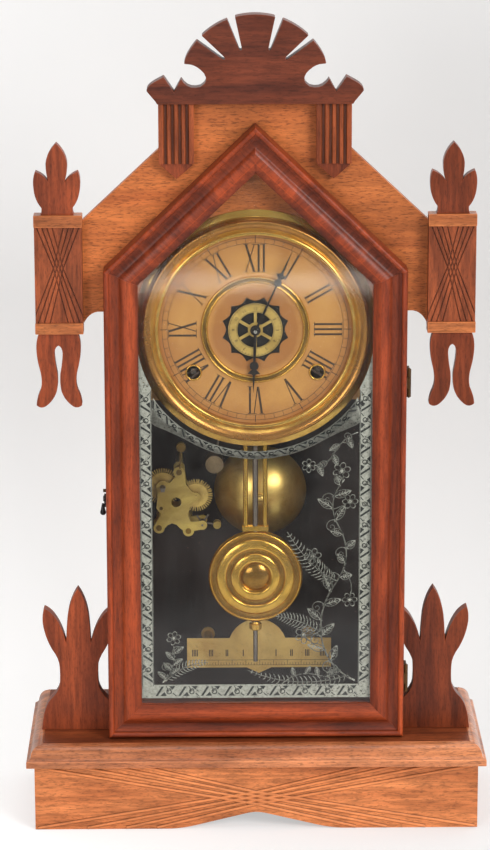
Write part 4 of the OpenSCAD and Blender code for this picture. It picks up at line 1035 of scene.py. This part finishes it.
def print_sprays(fine):
    """A tall flowering vine on the right, a low spray on the left and one hung at the top."""
    stem = (bow((70, 104), (52, 112), (47, 132), 8) + bow((47, 132), (42, 156), (56, 176), 8)[1:]
            + bow((56, 176), (70, 196), (58, 218), 8)[1:]
            + bow((58, 218), (48, 236), (62, 252), 8)[1:])
    silver(fine, stem, [1.3 - 0.6 * i / len(stem) for i in range(len(stem))])
    for i in range(3, len(stem) - 1, 2):
        x, z = stem[i]
        a = atan2(stem[i + 1][1] - stem[i - 1][1], stem[i + 1][0] - stem[i - 1][0])
        side = 1 if (i // 2) % 2 else -1
        leaf(fine, x, z, a + side * 0.95, 12.5 if x < 58 else 8.5, 5.6)
        if i % 4 == 1:
            curl(fine, x, z, a - side * 0.8, 5.2, -side)
    for x, z, size in ((34, 138, 6.6), (66, 164, 5.4), (40, 196, 6.2), (66, 236, 5.6),
                       (60, 258, 6.4)):
        daisy(fine, x, z, size, x)
    for path in (bow((47, 128), (40, 130), (34, 138), 5), bow((52, 170), (46, 184), (40, 196), 5),
                 bow((62, 186), (70, 176), (66, 166), 4), bow((53, 230), (60, 232), (66, 236), 4)):
        silver(fine, path, 0.6)
    spray = bow((-66, 103), (-56, 112), (-58, 130), 7)
    silver(fine, spray, [1.0 - 0.07 * i for i in range(8)])
    for i in range(1, 7):
        leaf(fine, *spray[i], 1.5 + (0.9 if i % 2 else -0.9), 8.0, 3.8)
    curl(fine, -62, 108, 0.4, 6.0, 1)
    curl(fine, -57, 122, 2.6, 5.0, -1)
    daisy(fine, -58, 136, 5.2, 0.3)
    creep = bow((20, 103), (30, 112), (44, 108), 6) + bow((44, 108), (54, 104), (60, 112), 5)[1:]
    silver(fine, creep, 0.7)
    for i in range(2, 11, 2):
        leaf(fine, *creep[i], 1.2 + (0.6 if i % 4 else -0.2), 6.5, 3.2)
    for path, longest in ((bow((57, 178), (40, 184), (22, 214), 18), 7.5),
                          (bow((49, 138), (32, 150), (14, 152), 16), 6.5),
                          (bow((66, 108), (30, 96), (-6, 112), 22), 5.5),
                          (bow((-64, 104), (-50, 118), (-34, 118), 14), 5.0)):
        frond(fine, path, longest)
    hang = bow((71, 286), (60, 282), (54, 270), 6) + bow((54, 270), (50, 262), (40, 262), 5)[1:]
    silver(fine, hang, 0.7)
    for i in range(2, 11, 2):
        leaf(fine, *hang[i], -2.0 + (0.8 if i % 4 else -0.6), 8.5, 4.2)
    daisy(fine, 37, 262, 5.0, 0.5)
    curl(fine, 60, 279, -0.6, 5.0, 1)


class CLOCK_OT_tablet(Operator):
    """Prints the silver border and the flower sprays on the back of the door glass"""
    bl_idname = "clock.tablet"
    bl_label = "Printed glass"

    def execute(self, context):
        f = finishes()
        leafing, dark, fine = bmesh.new(), bmesh.new(), bmesh.new()
        print_border(leafing, dark, context.scene.clock_sizes.border)
        print_sprays(fine)
        for name, bm, finish in (("tablet_border", leafing, f["silver"]),
                                 ("tablet_border_cuts", dark, f["backing"]),
                                 ("tablet_sprays", fine, f["fine_silver"])):
            piece = finish_piece(name, bm, "door", finish)
        return {"FINISHED"}


NUMERALS = ("I", "II", "III", "IIII", "V", "VI", "VII", "VIII", "IX", "X", "XI", "XII")
THICK, THIN = 1.6, 0.7


def numeral(bm, hour, low, high, front, back):
    """One hour in roman strokes, its head towards the rim."""
    word = NUMERALS[hour - 1]
    wide = {"I": 3.6, "V": 7.6, "X": 8.2}
    a = radians(90 - hour * 30)
    rad, tan = (cos(a), sin(a)), (sin(a), -cos(a))

    def at(u, v):
        return (DIAL[0] + rad[0] * v + tan[0] * u, DIAL[1] + rad[1] * v + tan[1] * u)

    def stroke(u0, v0, u1, v1, w):
        plate(bm, [at(u0 - w / 2, v0), at(u0 + w / 2, v0), at(u1 + w / 2, v1), at(u1 - w / 2, v1)],
              front, back)
    u = -sum(wide[c] for c in word) / 2
    for c in word:
        mid = u + wide[c] / 2
        if c == "I":
            stroke(mid, low, mid, high, 1.45)
            feet = ((mid, low), (mid, high))
        elif c == "V":
            stroke(mid - 2.7, high, mid, low, THICK)
            stroke(mid + 2.7, high, mid + 0.3, low, THIN)
            feet = ((mid - 2.7, high), (mid + 2.7, high))
        else:
            stroke(mid - 2.9, high, mid + 2.9, low, THICK)
            stroke(mid + 2.9, high, mid - 2.9, low, THIN)
            feet = ((mid - 2.9, high), (mid + 2.9, high), (mid - 2.9, low), (mid + 2.9, low))
        for fu, fv in feet:
            plate(bm, [at(fu - 1.7, fv - 0.22), at(fu + 1.7, fv - 0.22), at(fu + 1.7, fv + 0.22),
                       at(fu - 1.7, fv + 0.22)], front - 0.01, back)
        u += wide[c]


def hoop(bm, r, wide, front, back, steps=128):
    """A printed circle about the dial's centre."""
    washer(bm, DIAL, r - wide / 2, r + wide / 2, front, back, steps)


def tick(bm, angle, start, end, wide, front, back):
    """A printed stroke that points at the dial's centre."""
    c, s = cos(angle), sin(angle)
    plate(bm, [(DIAL[0] + r * c - k * s * wide / 2, DIAL[1] + r * s + k * c * wide / 2)
               for r, k in ((start, -1), (end, -1), (end, 1), (start, 1))], front, back)


def dial_print(bm, low, high):
    """Numerals, the minute track and its strokes."""
    front, back = PAPER - 0.05, PAPER + 0.01
    for hour in range(1, 13):
        numeral(bm, hour, low, high, front, back)
    for r in (TRACK_IN, TRACK_OUT):
        hoop(bm, r, 0.32, front, back)
    for minute in range(60):
        wide, reach = (0.5, 66.2) if minute % 5 == 0 else (0.3, TRACK_OUT)
        tick(bm, radians(minute * 6), TRACK_IN, reach, wide, front - 0.01, back)


def bezel_profile():
    """A thin spun shell: flange, outer wall, sloping front and the rolled lip."""
    lip = [(68.5 + 1.6 * cos(radians(a)), -31.6 - 1.6 * sin(radians(a)))
           for a in range(10, 175, 15)]
    return ([(84, -25), (84, -25.5), (83.6, -25.8), (79.6, -25.9), (78.9, -26.3), (78.5, -27),
             (78.4, -28), (78.2, -33.6)] + bow((78.2, -33.6), (78.0, -36.4), (76.2, -36.4), 6)[1:]
            + bow((76.2, -36.4), (73.2, -35.9), (70.4, -32.2), 8)[1:] + lip
            + [(66.9, -31.4), (66.7, PAPER), (67.6, PAPER), (67.8, -30.8), (70.6, -30.9)]
            + bow((70.6, -30.9), (73.6, -34.6), (76.2, -35.4), 5)[1:]
            + [(77.1, -34.6), (77.3, -28.2), (77.3, -25)])


def spin_ring(bm):
    """The centre ring of two beads, and the two grommets round the winding holes."""
    first, second = 33.8, 37.0
    beads = []
    for mid in (first, second):
        beads += [(mid + 0.8 * cos(radians(a)), PAPER - 0.55 - 1.25 * sin(radians(a)))
                  for a in range(180, -1, -20)]
        if mid == first:
            beads += bow((34.7, PAPER - 0.5), (35.4, PAPER - 0.3), (36.1, PAPER - 0.5), 4)
    turn(bm, [(32.9, PAPER + 0.01)] + beads + [(37.9, PAPER + 0.01)], DIAL, 120, True)
    for side in (-1, 1):
        turn(bm, [(4.6, -27), (4.6, -28.8), (4.8, -29.2), (5.15, -29.35), (5.5, -29.2),
                  (5.8, -28.8), (5.85, PAPER), (5.2, PAPER), (5.2, -27)],
             (side * GROMMET_OUT, GROMMET_HIGH), 48, True)


def disc_numbers(bm, context):
    """The numbers 1 to 12 round the alarm disc, in metres."""
    for hour in range(1, 13):
        text = bpy.data.curves.new("number", "FONT")
        text.body = str(hour)
        text.size = 0.0031
        text.align_x = text.align_y = "CENTER"
        text.extrude = 0.00002
        made = bpy.data.objects.new("number", text)
        context.scene.collection.objects.link(made)
        context.view_layer.update()
        mesh = bpy.data.meshes.new_from_object(made)
        mesh.transform(Matrix.Translation((DIAL[0] * MM, -0.02963, DIAL[1] * MM))
                       @ Matrix.Rotation(radians(hour * 30), 4, "Y")
                       @ Matrix.Translation((0, 0, 0.0151)) @ Matrix.Rotation(pi / 2, 4, "X"))
        bm.from_mesh(mesh)
        bpy.data.objects.remove(made)
        bpy.data.curves.remove(text)
        bpy.data.meshes.remove(mesh)


class CLOCK_OT_dial(Operator):
    """Makes the dial paper, its printing, the bezel, centre ring, grommets and alarm disc"""
    bl_idname = "clock.dial"
    bl_label = "Dial"

    def execute(self, context):
        f, s = finishes(), context.scene.clock_sizes
        dress(f["paper"], "dial_plate")
        bm = bmesh.new()
        dial_print(bm, s.numeral_low, s.numeral_high)
        printing = finish_piece("dial_printing", bm, "clock_case", f["ink"])
        bm = bmesh.new()
        # painted shadow: a black disc behind the star cut of the dial paper, in place of the shade
        # that hides the movement
        washer(bm, DIAL, 4.3, 25.4, SHADOW_DISC_FRONT, SHADOW_DISC_BACK, 96)
        painted_shadow_disc = finish_piece("dial_recess", bm, "clock_case", f["dark"])
        bm = bmesh.new()
        turn(bm, bezel_profile(), DIAL, 144, True)
        bezel = finish_piece("spun_bezel", bm, "clock_case", f["bezel"], 40)
        second_finish(bezel, f["bronze"], lambda x, y, z:
                      y < -27 and hypot(x, z - DIAL[1]) > BRONZE_FROM)
        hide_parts("dial_bezel")
        bm = bmesh.new()
        spin_ring(bm)
        ring = finish_piece("centre_ring_and_grommets", bm, "clock_case", f["ring"], 50)
        second_finish(ring, f["works"], lambda x, y, z:
                      34.6 < hypot(x - DIAL[0], z - DIAL[1]) < 36.2)
        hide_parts("dial_trim")
        # the alarm disc keeps its node, with numbers, strokes and two fine hoops printed on it
        dress(f["disc"], "alarm_disc")
        bm = bmesh.new()
        for r in (18.2, 13.0):
            hoop(bm, r, 0.25, ALARM_DISC_FACE - 0.05, ALARM_DISC_FACE, 96)
        for i in range(48):
            tick(bm, radians(i * 7.5), 17.2, 18.2, 0.22, ALARM_DISC_FACE - 0.05, ALARM_DISC_FACE)
        marks = finish_piece("alarm_disc_marks", bm, "alarm_set_body", f["ink"])
        bm = bmesh.new()
        disc_numbers(bm, context)
        numbers = finish_piece("alarm_disc_numbers", bm, "alarm_set_body", f["ink"], scale=False)
        for name in ("hour", "minute"):
            soften(name + "_hand", name + "_body", f["black"], 0.1)
        # the eyes of the two hands are filled by a pressed boss
        for name, reach, angle, front, r in (("hour", 25.2, HOUR_ANGLE, -31.6, 1.8),
                                             ("minute", 37.4, MINUTE_ANGLE, -33.6, 1.6)):
            bm = bmesh.new()
            turn(bm, [(0, front), (r, front), (r, front + 0.6), (0, front + 0.6)],
                 (DIAL[0] + reach * sin(angle), DIAL[1] + reach * cos(angle)), 24)
            boss = finish_piece(name + "_hand_boss", bm, name + "_body", f["black"])
        return {"FINISHED"}


class CLOCK_OT_pendulum(Operator):
    """Spins the ringed bob, and finishes the wire rod and the rating nut"""
    bl_idname = "clock.pendulum"
    bl_label = "Pendulum"

    def execute(self, context):
        f = finishes()
        rod = soften("pendulum_rod", "pendulum", f["steel"], 0.1)
        second_finish(rod, f["bob"], lambda x, y, z: z < 300 and (abs(x) > 2.5 or 208 < z < 213))
        y = BOB_PLANE
        bm = bmesh.new()
        profile = (bow((0, y - 5), (7.0, y - 5), (10.0, y - 2.5), 10)
                   + [(10.4, y - 2.3), (10.7, y - 2.5)]
                   + bow((10.7, y - 2.5), (10.9, y - 4.4), (12.0, y - 4.7), 5)[1:]
                   + bow((12.0, y - 4.7), (14.6, y - 4.7), (17.0, y - 3.9), 5)[1:]
                   + [(17.4, y - 3.4), (17.6, y - 2.5), (19.0, y - 2.3), (20.4, y - 2.5)]
                   + bow((20.4, y - 2.5), (20.7, y - 4.0), (21.8, y - 4.3), 5)[1:]
                   + bow((21.8, y - 4.3), (24.6, y - 4.3), (27.1, y - 3.4), 5)[1:]
                   + [(27.5, y - 2.9), (27.7, y - 2.4), (29.4, y - 2.2), (31.1, y - 2.4)]
                   + bow((31.1, y - 2.4), (31.9, y - 4.4), (33.3, y - 1.6), 6)[1:]
                   + [(33.5, y - 0.6), (33.5, y + 1), (32, y + 3.4), (26, y + 5), (0, y + 5)])
        turn(bm, profile, BOB, 120)
        bob = finish_piece("spun_bob", bm, "pendulum", f["bob"], 40)
        # the dome and the hollows between the rings are duller
        second_finish(bob, f["dome"], lambda x, y, z: y < BOB_PLANE and any(
            low < hypot(x, z - BOB[1]) < high for low, high in BOB_DOMES))
        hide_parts("pendulum_bob")
        dress(f["brass"], "rating_nut")
        return {"FINISHED"}


class CLOCK_OT_bell(Operator):
    """Spins the domed bell with its post, and finishes the hammer"""
    bl_idname = "clock.bell"
    bl_label = "Bell and hammer"

    def execute(self, context):
        f = finishes()
        bm = bmesh.new()
        r, deep, front, wall = 33.2, 22.0, 10, 1.2
        s = (r * r + deep * deep) / (2 * deep)
        edge = atan2(r, s - deep)

        def cup(radius, steps):
            return [(radius * sin(edge * i / 18), front + s - radius * cos(edge * i / 18))
                    for i in steps]
        turn(bm, cup(s, range(19)) + cup(s - wall, range(18, -1, -1)), BELL, 120)
        turn(bm, [(0, 7.4), (1.6, 7.5), (2.4, 8.2), (3.6, 8.2), (3.6, 10.6), (2.4, 10.7),
                  (2.4, 11.0), (4, 11.2), (4, 14), (2.4, 14.2), (2.4, 54.5), (6, 54.5), (6, 57),
                  (0, 57)], BELL, 40)
        bell = finish_piece("spun_bell", bm, "clock_case", f["bell"], 40)
        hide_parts("bell")
        hammer = soften("strike_hammer", "hammer_body", f["steel"], 0.15)
        second_finish(hammer, f["copper"], lambda x, y, z:
                      hypot(x - STRIKE_HEAD[0], z - STRIKE_HEAD[1]) < 7.2 and y > 14)
        return {"FINISHED"}


class CLOCK_OT_scale(Operator):
    """Marks the beat scale with tallies and a ruler"""
    bl_idname = "clock.scale"
    bl_label = "Beat scale"

    def execute(self, context):
        f = finishes()
        soften("beat_scale", "clock_case", f["scale"], 0.12)
        bm = bmesh.new()

        def block(x0, x1, z0, z1):
            plate(bm, [(x0, z0), (x1, z0), (x1, z1), (x0, z1)], SCALE_FRONT, SCALE_BACK)
        for x, count in ((-43.4, 4), (-31.8, 3), (-20.3, 2), (-8.5, 1), (15.2, 1), (26.4, 2),
                         (37.8, 3), (49.0, 4)):
            for i in range(count):
                u = x + (i - (count - 1) / 2) * 1.15
                block(u - 0.36, u + 0.36, TALLY_LOW, TALLY_HIGH)
        for z in (RULER_HIGH, RULER_LOW):
            block(RULER_LEFT, RULER_RIGHT, z, z + RULER_LINE)
        for i in range(51):
            x = -46.6 + i * 2.0
            block(x - 0.14, x + 0.14, RULER_LOW + RULER_LINE, 100.6 if i % 5 else RULER_HIGH)
        marks = finish_piece("beat_scale_marks", bm, "clock_case", f["ink"])
        return {"FINISHED"}


def cut_teeth_deeper(wheel, centre, root):
    """Draws the roots of a wheel's teeth inwards, so that the teeth read from the front."""
    for v in wheel.data.vertices:
        x, z = 1000 * v.co.x - centre[0], 1000 * v.co.z - centre[1]
        if abs(hypot(x, z) - root) < 0.2 and 1000 * v.co.y < ALARM_WHEEL_BACK:
            v.co.x, v.co.z = MM * (centre[0] + 0.82 * x), MM * (centre[1] + 0.82 * z)


class CLOCK_OT_works(Operator):
    """Finishes the movement, its springs, arbors and wheels, and the alarm"""
    bl_idname = "clock.works"
    bl_label = "Works"

    def execute(self, context):
        f = finishes()
        dress(f["works"], "movement_front_plate", "movement_back_plate", "time_great_wheel",
              "time_second_wheel", "time_third_wheel", "escape_wheel", "minute_wheel",
              "hour_wheel", "strike_great_wheel", "pin_wheel", "warning_wheel", "fly",
              "count_wheel")
        for node, centre, root in (("alarm_main_wheel", (-65.5, 233), 12.35),
                                   ("alarm_escape_wheel", (-42, 226.3), 10.65)):
            wheel = soften(node, node.replace("wheel", "body"), f["wheel"], 0)
            cut_teeth_deeper(wheel, centre, root)
        plates = soften("alarm_plates", "clock_case", f["alarm"], 0.12)
        second_finish(plates, f["works"], lambda x, y, z: y < 9.95)
        hammer = soften("alarm_hammer", "alarm_hammer_body", f["steel"], 0.1)
        second_finish(hammer, f["alarm"], lambda x, y, z:
                      hypot(x - ALARM_HEAD[0], z - ALARM_HEAD[1]) < 3.4 and y > 13)
        dress(f["steel"], "movement_pillars", "verge", "time_winding_arbor",
              "strike_winding_arbor", "alarm_winding_arbor")
        dress(f["blued"], "mainsprings")
        dress(f["pin"], "centre_arbor")
        return {"FINISHED"}


STEPS = (CLOCK_OT_stage, CLOCK_OT_base, CLOCK_OT_case, CLOCK_OT_crests, CLOCK_OT_door,
         CLOCK_OT_tablet, CLOCK_OT_dial, CLOCK_OT_pendulum, CLOCK_OT_bell, CLOCK_OT_scale,
         CLOCK_OT_works)


class CLOCK_PT_panel(Panel):
    """Lists the sizes, the colours and the steps of the build"""
    bl_idname = "CLOCK_PT_panel"
    bl_label = "Kitchen Clock"
    bl_space_type = "VIEW_3D"
    bl_region_type = "UI"
    bl_category = "Clock"

    def draw(self, context):
        for group in (context.scene.clock_sizes, context.scene.clock_colours):
            box = self.layout.box()
            for key in type(group).__annotations__:
                box.prop(group, key)
        for step in STEPS:
            self.layout.operator(step.bl_idname)


CLASSES = (ClockColours, ClockSizes, *STEPS, CLOCK_PT_panel)


def register():
    for item in CLASSES:
        bpy.utils.register_class(item)
    bpy.types.Scene.clock_colours = PointerProperty(type=ClockColours)
    bpy.types.Scene.clock_sizes = PointerProperty(type=ClockSizes)


def unregister():
    del bpy.types.Scene.clock_sizes
    del bpy.types.Scene.clock_colours
    for item in reversed(CLASSES):
        bpy.utils.unregister_class(item)


def main():
    """Builds every piece in order."""
    register()
    for step in STEPS:
        group, name = step.bl_idname.split(".")
        if getattr(getattr(bpy.ops, group), name)() != {"FINISHED"}:
            raise RuntimeError(step.bl_label + " could not be built")


if __name__ == "__main__":
    main()
